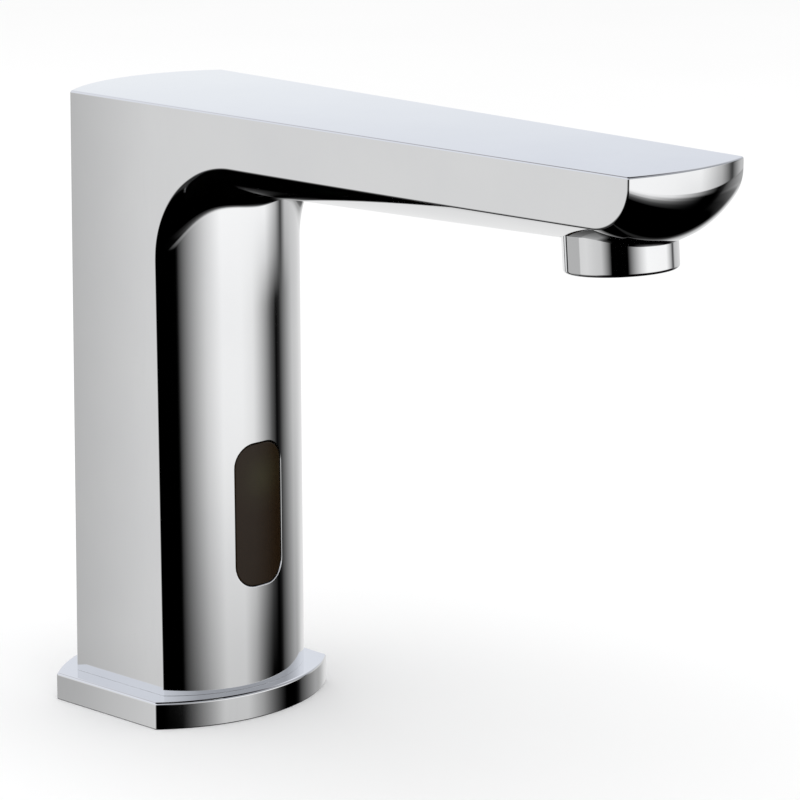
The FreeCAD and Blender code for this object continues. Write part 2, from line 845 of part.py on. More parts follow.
def flange_screws():
    head_at = s.deck_recess
    head_tall = s.screw_head_deep - s.deck_recess
    long = s.flange_thick - s.screw_head_deep + s.screw_into_body - s.thread_gap
    screws = [screw("flange_screw%d" % index, s.screw_hole - s.thread_gap, long, s.screw_head,
                    head_tall, (x, y, head_at))
              for index, (x, y) in enumerate(flange_screw_places())]
    return node("flange_screws", group("flange_screw_group", *screws))


# ---------------------------------------------------------------- presence sensor

def lip_front():
    return s.sensor_seat - s.seal_thick


def housing_front():
    return lip_front() - s.lip_thick


def housing_back():
    return housing_front() - s.housing_deep


def board_front():
    return housing_back() + s.board_pocket


def board_back():
    return board_front() - s.board_thick


def cable_x():
    return board_back() - s.plug_deep / 2


def lip_corners(shrink):
    margin = s.lip_margin - shrink
    return rounded_corners(s.window_width / 2 + margin, s.window_tall / 2 + margin,
                           s.window_corner + margin)


def sensor_window(outer):
    start = (0, s.sensor_height, lip_front())
    plug = pad("window_plug", "YZ_Plane", start,
               rounded_corners(s.window_width / 2, s.window_tall / 2, s.window_corner), s.front_bow)
    skin = doc.addObject("Part::Compound", "window_skin")
    skin.Links = [outer]
    move(skin, (-s.window_sunk, 0, 0))
    lens = common("window_lens", plug, skin)
    lip = pad("window_lip", "YZ_Plane", (0, s.sensor_height, housing_front()), lip_corners(0),
              s.lip_thick)
    return node("sensor_window", fuse("window", lens, lip))


def window_gasket():
    start = (0, s.sensor_height, lip_front())
    outer = pad("window_seal_outer", "YZ_Plane", start, lip_corners(s.window_gap), s.seal_thick)
    inner = pad("window_seal_inner", "YZ_Plane", start,
                rounded_corners(s.window_width / 2 + s.window_gap,
                                s.window_tall / 2 + s.window_gap,
                                s.window_corner + s.window_gap), s.seal_thick)
    return node("window_gasket", cut("window_seal", outer, inner))


def eye_heights():
    return [s.sensor_height - s.eye_spread / 2, s.sensor_height + s.eye_spread / 2]


def sensor_housing():
    body = pad("housing_block", "YZ_Plane", (0, s.sensor_height, housing_back()), lip_corners(0),
               s.housing_deep)
    half_tall = s.window_tall / 2 + s.lip_margin
    ears = []
    for index, way in enumerate((-1, 1)):
        near = s.sensor_height + half_tall * way
        lip_clear = near + s.ear_gap * way
        far = lip_clear + s.ear_long * way
        low, high = (far, near) if way < 0 else (near, far)
        ears.append(box("ear_root%d" % index, (housing_front() - s.ear_deep, -s.ear_wide / 2, low),
                        (housing_front(), s.ear_wide / 2, high)))
        low, high = (far, lip_clear) if way < 0 else (lip_clear, far)
        ears.append(box("ear_foot%d" % index, (housing_front(), -s.ear_wide / 2, low),
                        (s.sensor_seat, s.ear_wide / 2, high)))
    tools = [pad("board_bay", "YZ_Plane", (0, s.sensor_height, housing_back()),
                 lip_corners(s.board_margin), s.board_pocket)]
    for index, z in enumerate(eye_heights()):
        tools.append(cylinder("eye_tunnel%d" % index, s.eye_radius + s.eye_gap, s.housing_deep,
                              (housing_back(), 0, z), "x"))
    for index, z in enumerate(ear_screw_heights()):
        tools.append(cylinder("ear_bore%d" % index, s.sensor_screw + s.screw_clear,
                              s.sensor_seat - housing_front() + s.ear_deep,
                              (housing_front() - s.ear_deep, 0, z), "x"))
    return node("sensor_housing", cut("housing", fuse("housing_solid", body, *ears), *tools))


def sensor_board():
    plate = pad("board_plate", "YZ_Plane", (0, s.sensor_height, board_back()),
                lip_corners(s.board_margin + s.ear_gap), s.board_thick)
    plugs = []
    for index, way in enumerate((-1, 1)):
        middle = s.sensor_height + s.plug_spread / 2 * way
        plugs.append(box("board_plug%d" % index,
                         (board_back() - s.plug_deep, s.plug_y - s.plug_wide / 2,
                          middle - s.plug_tall / 2),
                         (board_back(), s.plug_y + s.plug_wide / 2, middle + s.plug_tall / 2)))
    return node("sensor_board", fuse("board", plate, *plugs))


def eye(name, z):
    """Domed sensor element on the board, looking out through the window."""
    straight = housing_front() - board_front() - s.eye_radius - s.eye_gap
    dome = doc.addObject("Part::Sphere", name + "_dome")
    bind(dome, "Radius", s.eye_radius)
    move(dome, (board_front() + straight, 0, z))
    barrel = cylinder(name + "_barrel", s.eye_radius, straight, (board_front(), 0, z), "x")
    return node(name, fuse(name + "_whole", barrel, dome))


def sensor_screws():
    long = s.sensor_seat - housing_front() + s.ear_deep + s.sensor_screw_bite - s.thread_gap
    start = housing_front() - s.ear_deep - s.sensor_screw_head_tall
    screws = [screw("sensor_screw%d" % index, s.sensor_screw, long, s.sensor_screw_head,
                    s.sensor_screw_head_tall, (start, 0, z), "x")
              for index, z in enumerate(ear_screw_heights())]
    return node("sensor_screws", group("sensor_screw_group", *screws))


def plug_end(way):
    return s.sensor_height + (s.plug_spread / 2 + s.plug_tall / 2) * way


def sensor_cable():
    top = plug_end(-1)
    return node("sensor_cable", cylinder("supply_lead", s.cable_radius, top - s.deck_recess,
                                         (cable_x(), s.plug_y, s.deck_recess)))


def cable_grommet():
    x = cable_x()
    tall = s.flange_thick - s.deck_recess
    sleeve = cylinder("grommet_sleeve", s.grommet_radius - s.thread_gap, tall,
                      (x, s.plug_y, s.deck_recess))
    lip = cylinder("grommet_lip_ring", s.grommet_radius + s.grommet_lip, s.grommet_lip,
                   (x, s.plug_y, s.flange_thick))
    bore = cylinder("grommet_bore", s.cable_radius + s.thread_gap, s.flange_thick * 2,
                    (x, s.plug_y, 0))
    return node("cable_grommet", cut("grommet", fuse("grommet_solid", sleeve, lip), bore))


def rounded_path(points, radius):
    """Straight runs joined by tangent arcs."""
    edges = []
    start = points[0]
    for before, corner, after in zip(points, points[1:], points[2:]):
        arriving = (corner - before).normalize()
        leaving = (after - corner).normalize()
        turn = arriving.getAngle(leaving)
        stretch = radius * math.tan(turn / 2)
        first = corner - arriving * stretch
        last = corner + leaving * stretch
        inwards = (leaving - arriving).normalize()
        middle = corner + inwards * (radius / math.cos(turn / 2) - radius)
        edges.append(Part.LineSegment(start, first).toShape())
        edges.append(Part.Arc(first, middle, last).toShape())
        start = last
    edges.append(Part.LineSegment(start, points[-1]).toShape())
    return Part.Wire(edges)


def tube_along(path, radius):
    start = path.Edges[0].Vertexes[0].Point
    direction = path.Edges[0].tangentAt(path.Edges[0].FirstParameter)
    circle = Part.Wire([Part.Circle(start, direction, radius).toShape()])
    return path.makePipeShell([circle], True, False)


def feature(name, shape):
    item = doc.addObject("Part::Feature", name)
    item.Shape = shape
    return item


def coil_lead():
    """Twin lead from the board up to the coil's terminals."""
    x = number(cable_x())
    y = number(s.plug_y)
    low = number(plug_end(1))
    high = number(terminal_base())
    lead_x, lead_y = number(s.lead_x), number(s.lead_y)
    level = number(valve_base())
    bend = number(s.lead_bend)
    points = [FreeCAD.Vector(x, y, low), FreeCAD.Vector(x, y, low + bend),
              FreeCAD.Vector(lead_x, lead_y, level - bend), FreeCAD.Vector(lead_x, lead_y, high)]
    return node("coil_lead", feature("coil_wire", tube_along(
        rounded_path(points, bend), number(s.lead_radius))))


# ---------------------------------------------------------------- water inlet

def web_base():
    return s.deck_recess + s.inlet_thread_deep + s.filter_thick


def filter_seat():
    return s.inlet_thread - s.filter_step


def check_seat():
    return web_base() + s.web_thick


def inlet_connector():
    top = s.inlet_top
    under = s.flange_thick + s.shoulder_thick
    return node("inlet_connector", turned("connector", [
        (s.inlet_thread, s.deck_recess, None), (s.inlet_outer, s.deck_recess, None),
        (s.inlet_outer, s.flange_thick, None), (s.inlet_shoulder, s.flange_thick, None),
        (s.inlet_shoulder, under, None), (s.inlet_outer, under, None),
        (s.inlet_outer, top, None), (s.check_chamber, top, None),
        (s.check_chamber, check_seat(), None), (s.seat_hole, check_seat(), None),
        (s.seat_hole, web_base(), None), (filter_seat(), web_base(), None),
        (filter_seat(), web_base() - s.filter_thick, None),
        (s.inlet_thread, web_base() - s.filter_thick, None)],
        (s.inlet_x, 0, 0)))


def hole_field(name, radius, pitch, tall, rows, at):
    """Drills on a square grid, inside the circle half a pitch beyond its outer rows."""
    span = range(-rows, rows + 1)
    places = [(row, column) for row in span for column in span
              if math.hypot(row, column) < rows + 1 / 2]
    return [cylinder(name, radius, tall, (at[0] + pitch * row, at[1] + pitch * column, at[2]))
            for row, column in places]


def inlet_filter():
    level = web_base() - s.filter_thick
    disc = cylinder("filter_disc", filter_seat() - s.thread_gap, s.filter_thick,
                    (s.inlet_x, 0, level))
    holes = hole_field("filter_hole", s.filter_hole, s.filter_pitch, s.filter_thick,
                       SIZES["filter_rows"], (s.inlet_x, 0, level))
    return node("inlet_filter", cut("filter", disc, *holes))


def check_poppet():
    """Disc on a stem that slides in the guide; its shoulder stops it after the travel."""
    seat = check_seat()
    disc = seat + s.poppet_thick
    shoulder = guide_base() - s.check_travel
    return node("check_poppet", turned("poppet", [
        (0, seat, None), (s.poppet_radius, seat, None), (s.poppet_radius, disc, None),
        (s.poppet_shoulder, disc, None), (s.poppet_shoulder, shoulder, None),
        (s.poppet_stem, shoulder, None), (s.poppet_stem, s.feed_start, None),
        (0, s.feed_start, None)], (s.inlet_x, 0, 0)))


def guide_base():
    return s.feed_start - s.guide_thick


def check_guide():
    """Spider that centres the poppet's stem and takes the spring's thrust."""
    disc = ring("guide_disc", s.check_chamber - s.thread_gap, s.poppet_stem + s.stem_gap,
                s.guide_thick, (s.inlet_x, 0, guide_base()))
    slots = []
    for index, (x, y) in enumerate(((1, 0), (0, 1), (-1, 0), (0, -1))):
        slots.append(cylinder("guide_slot%d" % index, s.guide_slot, s.guide_thick,
                              (s.inlet_x + s.guide_slot_ring * x, s.guide_slot_ring * y,
                               guide_base())))
    return node("check_guide", cut("guide", disc, *slots))


def spring(name, x, low, high, coil, wire, turns):
    """Wound spring between two faces, as one unbroken tube."""
    radius = number(wire)
    rise = number(high) - number(low) - 2 * radius
    helix = Part.makeHelix(rise / turns, rise, number(coil))
    start = FreeCAD.Vector(number(coil), 0, 0)
    pitch_angle = math.atan2(rise / turns, 2 * math.pi * number(coil))
    direction = FreeCAD.Vector(0, math.cos(pitch_angle), math.sin(pitch_angle))
    circle = Part.Wire([Part.Circle(start, direction, radius).toShape()])
    shape = Part.Wire(helix).makePipeShell([circle], True, True)
    gap = rise / turns * math.cos(pitch_angle) - 2 * radius
    print("%s: %d turns, least gap %.2f mm" % (name, turns, gap))
    item = feature(name + "_wire", shape)
    item.Placement = FreeCAD.Placement(
        FreeCAD.Vector(number(x), 0, number(low) + radius), FreeCAD.Rotation())
    return node(name, item)


def check_spring():
    low = check_seat() + s.poppet_thick
    return spring("check_spring", s.inlet_x, low, guide_base(), s.check_coil, s.check_wire,
                  SIZES["check_turns"])


def feed_tube():
    return node("feed_tube", ring("feed", s.feed_radius, s.feed_radius - s.feed_wall,
                                  valve_base() + s.valve_ear_thick - s.feed_start,
                                  (s.inlet_x, 0, s.feed_start)))


# ---------------------------------------------------------------- solenoid valve

def valve_top():
    return valve_base() + s.valve_tall


def valve_body():
    base = valve_base()
    drum = cylinder("valve_drum", s.valve_radius, s.valve_tall, (s.valve_x, 0, base))
    inlet = cylinder("valve_inlet_boss", s.inlet_outer, s.valve_boss_tall,
                     (s.inlet_x, 0, base))
    cross_z = base + s.outlet_level
    arm = cylinder("valve_arm", s.outlet_boss, s.outlet_x - s.valve_x, (s.valve_x, 0, cross_z), "x")
    outlet = cylinder("valve_outlet_boss", s.outlet_boss, s.valve_tall - s.outlet_level
                      + s.outlet_boss, (s.outlet_x, 0, cross_z - s.outlet_boss))
    ear_base = valve_top() - s.valve_ear_thick
    ear = box("valve_ears", (s.valve_x - s.valve_ear_wide / 2, -s.valve_ear_reach, ear_base),
              (s.valve_x + s.valve_ear_wide / 2, s.valve_ear_reach, valve_top()))
    bore = s.valve_seat_hole
    tools = [
        cylinder("feed_socket", s.feed_radius + s.socket_gap, s.valve_ear_thick,
                 (s.inlet_x, 0, base)),
        cylinder("feed_port", s.port_hole, s.valve_tall, (s.inlet_x, 0, base)),
        ring("pressure_groove", s.groove_outer, s.groove_inner, s.groove_deep,
             (s.valve_x, 0, valve_top() - s.groove_deep)),
        cylinder("seat_bore", bore, valve_top() - cross_z, (s.valve_x, 0, cross_z)),
        cylinder("cross_bore", s.cross_hole, s.outlet_x - s.valve_x, (s.valve_x, 0, cross_z), "x"),
        cylinder("riser_bore", bore, valve_top() - cross_z, (s.outlet_x, 0, cross_z)),
        cylinder("outlet_socket", s.outlet_tube + s.socket_gap, s.tube_bite,
                 (s.outlet_x, 0, valve_top() - s.tube_bite)),
        cylinder("socket_ring_groove", s.outlet_tube + s.socket_gap + s.ring_wire * 2,
                 s.ring_wire * 2 + s.socket_gap,
                 (s.outlet_x, 0, valve_top() - s.ring_inset)),
    ]
    for index, (x, y) in enumerate(valve_screw_places()):
        tools.append(cylinder("ear_drill%d" % index, s.valve_screw + s.socket_gap,
                              s.valve_ear_thick, (x, y, ear_base)))
    for index, (x, y) in enumerate(cover_screw_places()):
        tools.append(cylinder("cover_tap%d" % index, s.cover_screw + s.thread_gap,
                              s.cover_screw_bite, (x, y, valve_top() - s.cover_screw_bite)))
    return node("valve_body", cut("valve_casting", fuse("valve_blank", drum, inlet, arm, outlet,
                                                        ear), *tools))


def cover_screw_places():
    """Four screws round the cover, clear of the ports."""
    reach = math.sqrt(0.5)
    return [(s.valve_x + s.cover_screw_ring * reach * x, s.cover_screw_ring * reach * y)
            for x in (-1, 1) for y in (-1, 1)]


def valve_diaphragm():
    base = valve_top()
    disc = cylinder("diaphragm_disc", s.valve_radius, s.diaphragm_thick, (s.valve_x, 0, base))
    plug = cylinder("diaphragm_centre", s.diaphragm_plug, s.cover_thick / 2,
                    (s.valve_x, 0, base + s.diaphragm_thick))
    holes = [cylinder("diaphragm_hole%d" % index, s.cover_screw + s.socket_gap, s.diaphragm_thick,
                      (x, y, base))
             for index, (x, y) in enumerate(cover_screw_places())]
    return node("valve_diaphragm", cut("diaphragm", fuse("diaphragm_solid", disc, plug), *holes))


def cover_base():
    return valve_top() + s.diaphragm_thick


def cover_top():
    return cover_base() + s.cover_thick


def valve_cover():
    disc = cylinder("cover_disc", s.valve_radius, s.cover_thick, (s.valve_x, 0, cover_base()))
    tools = [
        cylinder("cover_chamber", s.diaphragm_plug + s.chamber_gap,
                 s.cover_thick / 2 + s.diaphragm_lift, (s.valve_x, 0, cover_base())),
        cylinder("cover_bore", s.core_radius - s.core_wall, s.cover_thick,
                 (s.valve_x, 0, cover_base())),
    ]
    for index, (x, y) in enumerate(cover_screw_places()):
        tools.append(cylinder("cover_hole%d" % index, s.cover_screw + s.socket_gap, s.cover_thick,
                              (x, y, cover_base())))
    return node("valve_cover", cut("cover", disc, *tools))


def cover_screws():
    screws = []
    head = s.cover_screw_head_tall
    for index, (x, y) in enumerate(cover_screw_places()):
        name = "cover_screw%d" % index
        low = valve_top() - s.cover_screw_bite + s.thread_gap
        shank = cylinder(name + "_shank", s.cover_screw, cover_top() - low, (x, y, low))
        cap = cylinder(name + "_head", s.cover_screw_head, head, (x, y, cover_top()))
        screws.append(fuse(name, shank, cap))
    return node("cover_screws", group("cover_screw_group", *screws))


def valve_mount_screws():
    head = s.valve_screw_head_tall
    long = s.valve_ear_thick + s.valve_screw_bite - s.thread_gap
    start = valve_top() - s.valve_ear_thick - head
    screws = [screw("valve_mount_screw%d" % index, s.valve_screw, long, s.valve_screw_head, head,
                    (x, y, start))
              for index, (x, y) in enumerate(valve_screw_places())]
    return node("valve_mount_screws", group("valve_mount_group", *screws))


def core_tube():
    """Thin tube that the plunger slides in, closed by the fixed core that stops it."""
    low = cover_top()
    top = low + s.core_tall
    inner = s.core_radius - s.core_wall
    return node("core_tube", turned("core", [
        (inner, low, None), (s.core_flange, low, None),
        (s.core_flange, low + s.core_flange_thick, None),
        (s.core_radius, low + s.core_flange_thick, None), (s.core_radius, top, None),
        (0, top, None), (0, core_ceiling(), None), (inner, core_ceiling(), None)],
        (s.valve_x, 0, 0)))


def plunger_base():
    return valve_top() + s.diaphragm_thick + s.cover_thick / 2


def core_ceiling():
    """Face of the fixed core: the plunger's travel above its top."""
    return plunger_base() + s.plunger_tall + s.plunger_travel


def pocket_floor():
    return plunger_base() + s.plunger_tall - s.plunger_bore_deep


def plunger():
    radius = s.core_radius - s.core_wall - s.plunger_gap
    low = plunger_base()
    top = low + s.plunger_tall
    return node("plunger", turned("plunger_core", [
        (0, low, None), (s.plunger_tip, low, None), (radius, low + radius - s.plunger_tip, None),
        (radius, top, None), (s.plunger_bore, top, None), (s.plunger_bore, pocket_floor(), None),
        (0, pocket_floor(), None)], (s.valve_x, 0, 0)))


def plunger_spring():
    return spring("plunger_spring", s.valve_x, pocket_floor(), core_ceiling(), s.plunger_coil,
                  s.plunger_wire, SIZES["plunger_turns"])


def coil_base():
    return cover_top() + s.core_flange_thick + s.yoke_thick


def coil_bobbin():
    low = coil_base()
    bore = s.core_radius + s.socket_gap
    drum = bore + s.bobbin_wall
    top = low + s.coil_tall
    spool = turned("bobbin", [
        (bore, low, None), (s.coil_radius, low, None), (s.coil_radius, low + s.bobbin_flange, None),
        (drum, low + s.bobbin_flange, None), (drum, top - s.bobbin_flange, None),
        (s.coil_radius, top - s.bobbin_flange, None), (s.coil_radius, top, None),
        (bore, top, None)], (s.valve_x, 0, 0))
    return node("coil_bobbin", spool)


def terminal_base():
    return coil_base() + (s.coil_tall - s.terminal_tall) / 2


def coil_winding():
    """Copper winding on the bobbin."""
    drum = s.core_radius + s.socket_gap + s.bobbin_wall
    low = coil_base() + s.bobbin_flange
    turns = ring("winding", s.coil_radius - s.winding_inset, drum,
                 s.coil_tall - s.bobbin_flange * 2, (s.valve_x, 0, low))
    return node("coil_winding", turns)


def coil_terminal():
    """Terminal block on the winding's side, over the lead's end."""
    half = s.terminal_size / 2
    base = terminal_base()
    block = box("terminal_block", (s.lead_x - half, s.lead_y - half, base),
                (s.lead_x + half, s.lead_y + half, base + s.terminal_tall))
    clear = cylinder("terminal_clear", s.coil_radius - s.winding_inset, s.terminal_tall,
                     (s.valve_x, 0, base))
    return node("coil_terminal", cut("terminal", block, clear))


def solenoid_yoke():
    """Folded steel strap that carries the coil's magnetic path."""
    low = cover_top() + s.core_flange_thick
    high = coil_base() + s.coil_tall + s.yoke_thick
    back = s.valve_x - s.coil_radius - s.yoke_thick
    front = s.valve_x + s.yoke_front
    strap = pad("yoke_strap", "XZ_Plane", (0, 0, -s.yoke_half), [
        (back, low, None), (front, low, None), (front, low + s.yoke_thick, None),
        (back + s.yoke_thick, low + s.yoke_thick, None),
        (back + s.yoke_thick, high - s.yoke_thick, None), (front, high - s.yoke_thick, None),
        (front, high, None), (back, high, None)], s.yoke_half * 2)
    hole = cylinder("yoke_hole", s.core_radius + s.socket_gap, high - low, (s.valve_x, 0, low))
    return node("solenoid_yoke", cut("yoke", strap, hole))


def coil_nut():
    low = coil_base() + s.coil_tall + s.yoke_thick
    half_corner = 30
    reach = s.nut_half / cosine(half_corner)
    half_side = s.nut_half * tangent(half_corner)
    blank = pad("nut_blank", "XY_Plane", (s.valve_x, 0, low), [
        (s.nut_half, -half_side, None), (s.nut_half, half_side, None), (0, reach, None),
        (-s.nut_half, half_side, None), (-s.nut_half, -half_side, None), (0, -reach, None)],
        s.nut_thick)
    hole = cylinder("nut_hole", s.core_radius + s.thread_gap, s.nut_thick, (s.valve_x, 0, low))
    return node("coil_nut", cut("nut", blank, hole))


# ---------------------------------------------------------------- spout waterway

def outlet_tube():
    """Bent tube from the valve up and along the spout to the water chamber."""
    x = number(s.outlet_x)
    low = number(valve_top() - s.tube_bite + s.socket_gap)
    level = number(s.height - s.tube_under_top)
    end = number(core_end() + s.tube_bite)
    path = rounded_path([FreeCAD.Vector(x, 0, low), FreeCAD.Vector(x, 0, level),
                         FreeCAD.Vector(end, 0, level)], number(s.outlet_bend))
    outer = tube_along(path, number(s.outlet_tube))
    inner = tube_along(path, number(s.outlet_tube - s.outlet_tube_wall))
    return node("outlet_tube", feature("bent_tube", outer.cut(inner)))


def seal_ring(name, at, axis):
    item = doc.addObject("Part::Torus", name)
    bind(item, "Radius1", s.outlet_tube + s.socket_gap / 2 + s.ring_wire)
    bind(item, "Radius2", s.ring_wire)
    return move(item, at, TURNS[axis])


def outlet_seals():
    level = s.height - s.tube_under_top
    middle = s.ring_wire + s.socket_gap / 2
    lower = seal_ring("lower_ring", (s.outlet_x, 0, valve_top() - s.ring_inset + middle), "z")
    upper = seal_ring("upper_ring", (core_end() + s.ring_inset + middle, 0, level), "x")
    return node("outlet_seals", group("seal_pair", lower, upper))


# ---------------------------------------------------------------- aerator

def aerator_collar():
    """Smooth collar below the spout with the threaded neck that holds it."""
    neck = s.neck_radius - s.neck_gap
    top = s.collar_tall + s.neck_tall
    bore = s.insert_radius + s.insert_gap
    soft = s.collar_round
    piece = turned("collar", [
        (s.rim_radius, 0, None), (s.collar_radius - soft, 0, soft),
        (s.collar_radius, soft, None), (s.collar_radius, s.collar_tall, None),
        (neck, s.collar_tall, None), (neck, top, None), (bore, top, None),
        (bore, s.insert_rise, None), (s.rim_radius, s.insert_rise, None)])
    return node("aerator_collar", aerator_place(piece, 0))


def insert_tall():
    """The insert fills the collar's bore up to the screen."""
    return s.collar_tall + s.neck_tall - s.insert_rise - s.screen_thick


def aerator_insert():
    """Moulded flow straightener: a ring crossed by ribs both ways."""
    level = s.insert_rise
    outer = s.insert_radius
    wall = ring("insert_wall", outer, s.rim_radius - s.rib_thick, insert_tall(), (0, 0, 0))
    bars = []
    count = int(SIZES["rim_radius"] / SIZES["rib_pitch"])
    reach = s.rim_radius
    tall = s.grid_tall
    for index in range(-count, count + 1):
        middle = s.rib_pitch * index
        half = s.rib_thick / 2
        bars.append(box("rib_x", (-reach, middle - half, 0), (reach, middle + half, tall)))
        bars.append(box("rib_y", (middle - half, -reach, 0), (middle + half, reach, tall)))
    inside = cylinder("insert_inside", s.rim_radius, tall, (0, 0, 0))
    grid = common("insert_grid", fuse("insert_bars", *bars), inside)
    piece = fuse("insert", wall, grid)
    return node("aerator_insert", aerator_place(piece, level))


def aerator_screen():
    level = s.insert_rise + insert_tall()
    disc = cylinder("screen_disc", s.insert_radius, s.screen_thick, (0, 0, 0))
    holes = hole_field("screen_hole", s.screen_hole, s.screen_pitch, s.screen_thick,
                       SIZES["screen_rows"], (0, 0, 0))
    piece = cut("screen", disc, *holes)
    return node("aerator_screen", aerator_place(piece, level))


def aerator_washer():
    level = s.collar_tall + s.neck_tall
    piece = ring("washer", s.neck_radius - s.washer_gap, s.washer_inner, s.washer_thick, (0, 0, 0))
    return node("aerator_washer", aerator_place(piece, level))


# ---------------------------------------------------------------- build and write

def build():
    casting, outer = body_casting()
    base_flange()
    base_gasket()
    flange_screws()
    sensor_window(outer)
    window_gasket()
    sensor_housing()
    sensor_board()
    eye("ir_emitter", eye_heights()[1])
    eye("ir_receiver", eye_heights()[0])
    sensor_screws()
    sensor_cable()
    cable_grommet()
    coil_lead()
    inlet_connector()
    inlet_filter()
    check_poppet()
    check_guide()
    check_spring()
    feed_tube()
    valve_body()
    valve_diaphragm()
    valve_cover()
    cover_screws()
    valve_mount_screws()
    core_tube()
    plunger()
    plunger_spring()
    coil_bobbin()
    coil_winding()
    coil_terminal()
    solenoid_yoke()
    coil_nut()
    outlet_tube()
    outlet_seals()
    aerator_collar()
    aerator_insert()
    aerator_screen()
    aerator_washer()
    doc.recompute()


def check():
    """Stop before anything is written if an object failed or a piece is not sound."""
    failed = [item.Label for item in doc.Objects
              if "Invalid" in item.State or "Error" in item.State]
    unsound = [item.Label for item in NODES
               if item.Shape.isNull() or not item.Shape.isValid() or not item.Shape.Solids]
    if failed or unsound:
        raise RuntimeError("failed: %s, unsound: %s" % (failed, unsound))


def write():
    os.makedirs("parts", exist_ok=True)
    for item in NODES:
        item.Shape.exportStep("parts/%s.step" % item.Label)
        print("%-20s %2d solid(s) %10.1f mm3" % (item.Label, len(item.Shape.Solids),
                                                 item.Shape.Volume))


build()
check()
write()
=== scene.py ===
"""Looks of the sensor tap: smooth chrome skins, the dark window, studio light and the camera."""
import json
import math

import bmesh
import bpy
import numpy as np
from mathutils import Matrix, Vector
from mathutils.geometry import delaunay_2d_cdt, intersect_point_line, tessellate_polygon


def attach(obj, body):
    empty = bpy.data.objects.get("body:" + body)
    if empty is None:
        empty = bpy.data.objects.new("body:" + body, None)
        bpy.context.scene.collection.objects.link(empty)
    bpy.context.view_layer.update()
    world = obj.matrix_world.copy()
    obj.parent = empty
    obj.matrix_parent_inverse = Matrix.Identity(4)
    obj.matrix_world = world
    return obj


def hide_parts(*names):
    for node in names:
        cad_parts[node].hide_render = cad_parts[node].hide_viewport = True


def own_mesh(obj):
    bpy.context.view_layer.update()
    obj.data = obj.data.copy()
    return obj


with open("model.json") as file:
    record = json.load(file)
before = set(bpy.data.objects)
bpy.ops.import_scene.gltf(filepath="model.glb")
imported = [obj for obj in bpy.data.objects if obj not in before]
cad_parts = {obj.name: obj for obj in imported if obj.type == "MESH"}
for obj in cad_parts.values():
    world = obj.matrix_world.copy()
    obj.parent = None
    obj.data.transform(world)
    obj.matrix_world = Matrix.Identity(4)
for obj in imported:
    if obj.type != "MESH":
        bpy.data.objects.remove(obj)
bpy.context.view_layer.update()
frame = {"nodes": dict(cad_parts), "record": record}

MM = 0.001
BODY = "tap_body"

# -------------------------------- sizes, in millimetres

HEIGHT = 155.0
BODY_WIDTH = 49.2
TAPER = math.radians(1.9)
FOOT_HALF_FLAT = 15.8
HEAD_HALF_FLAT = 14.5
BACK_BOW = 44.0
FRONT_BOW = 33.0
TIP_REACH = 162.0
TIP_BOW = 64.0
ROOT_EDGE = 13.0
TIP_EDGE = 12.5
INNER_CORNER = 26.5
TIP_CORNER = 10.5
FLANGE_THICK = 7.0
FLANGE_HALF_FLAT = 18.7
FLANGE_RIM = 5.2
FLANGE_BOW = 45.0
SENSOR_HEIGHT = 51.0
WINDOW_WIDTH = 15.0
WINDOW_TALL = 36.0
WINDOW_CORNER = 5.5
WINDOW_GAP = 0.15
AERATOR_X = 143.5
AERATOR_BOTTOM = 129.6
AERATOR_TILT = math.radians(4.6)
COLLAR_RADIUS = 13.0
COLLAR_TALL = 9.1
COLLAR_GAP = 0.3

# opening behind the window and the lens in it
OPENING_BACK = 15.0     # X of the opening's floor, and of the two faces of the lens's lip
LENS_LIP_FRONT = 17.0
LENS_LIP_BACK = 15.5
LENS_LIP = 3.0          # how far that lip reaches past the face
LENS_SUNK = 0.15        # how far the face is behind the chrome
LENS_ROUND = 0.25

# collar with its threaded neck, and the recess that takes them
COLLAR_MOUTH = 9.4
COLLAR_LIP = 1.5
NECK_BORE = 10.5
NECK_RADIUS = 11.95
NECK_TALL = 5.4
RECESS_GAP = 0.05       # above the collar
RECESS_NECK = 12.0
RECESS_NECK_TALL = 7.0

# underside of the flange: the gasket's groove, and the holes as X, Y, radius and depth
GROOVE_EDGE = 2.0
GROOVE_INSIDE = 5.0
GROOVE_DEEP = 2.0
FLANGE_HOLES = [(x, y, 3.75, 2.6) for x in (-9.5, 9.5) for y in (-15.3, 15.3)]
FLANGE_HOLES += [(-11.0, 0.0, 6.3, 6.9), (9.0, -7.0, 4.0, 6.9), (3.9, 4.5, 4.0, 6.9)]

# softened edges of the polished skin
TIP_FULL = 3.2          # more radius under the tip on the middle plane
CREST_ROUND = 4.0       # the bend between column and spout, on the middle plane
CREST_HOLD = 3.8        # how late that bend widens on its way to the flat sides
CREST_EASE = 1.4        # and how gently it ends there
EDGE_ROUND = 0.7        # along the flat sides
RIM_ROUND = 0.6         # round the flat top
FOOT_ROUND = 0.08
LIP_ROUND = 0.3         # round the window and the collar's recess
FLANGE_CORNER = 1.0     # in plan
FLANGE_TOP_ROUND = 0.7
FLANGE_BASE_ROUND = 0.3
HALF_TURNED = 0.3       # share of a rounding's radius at which it faces half way

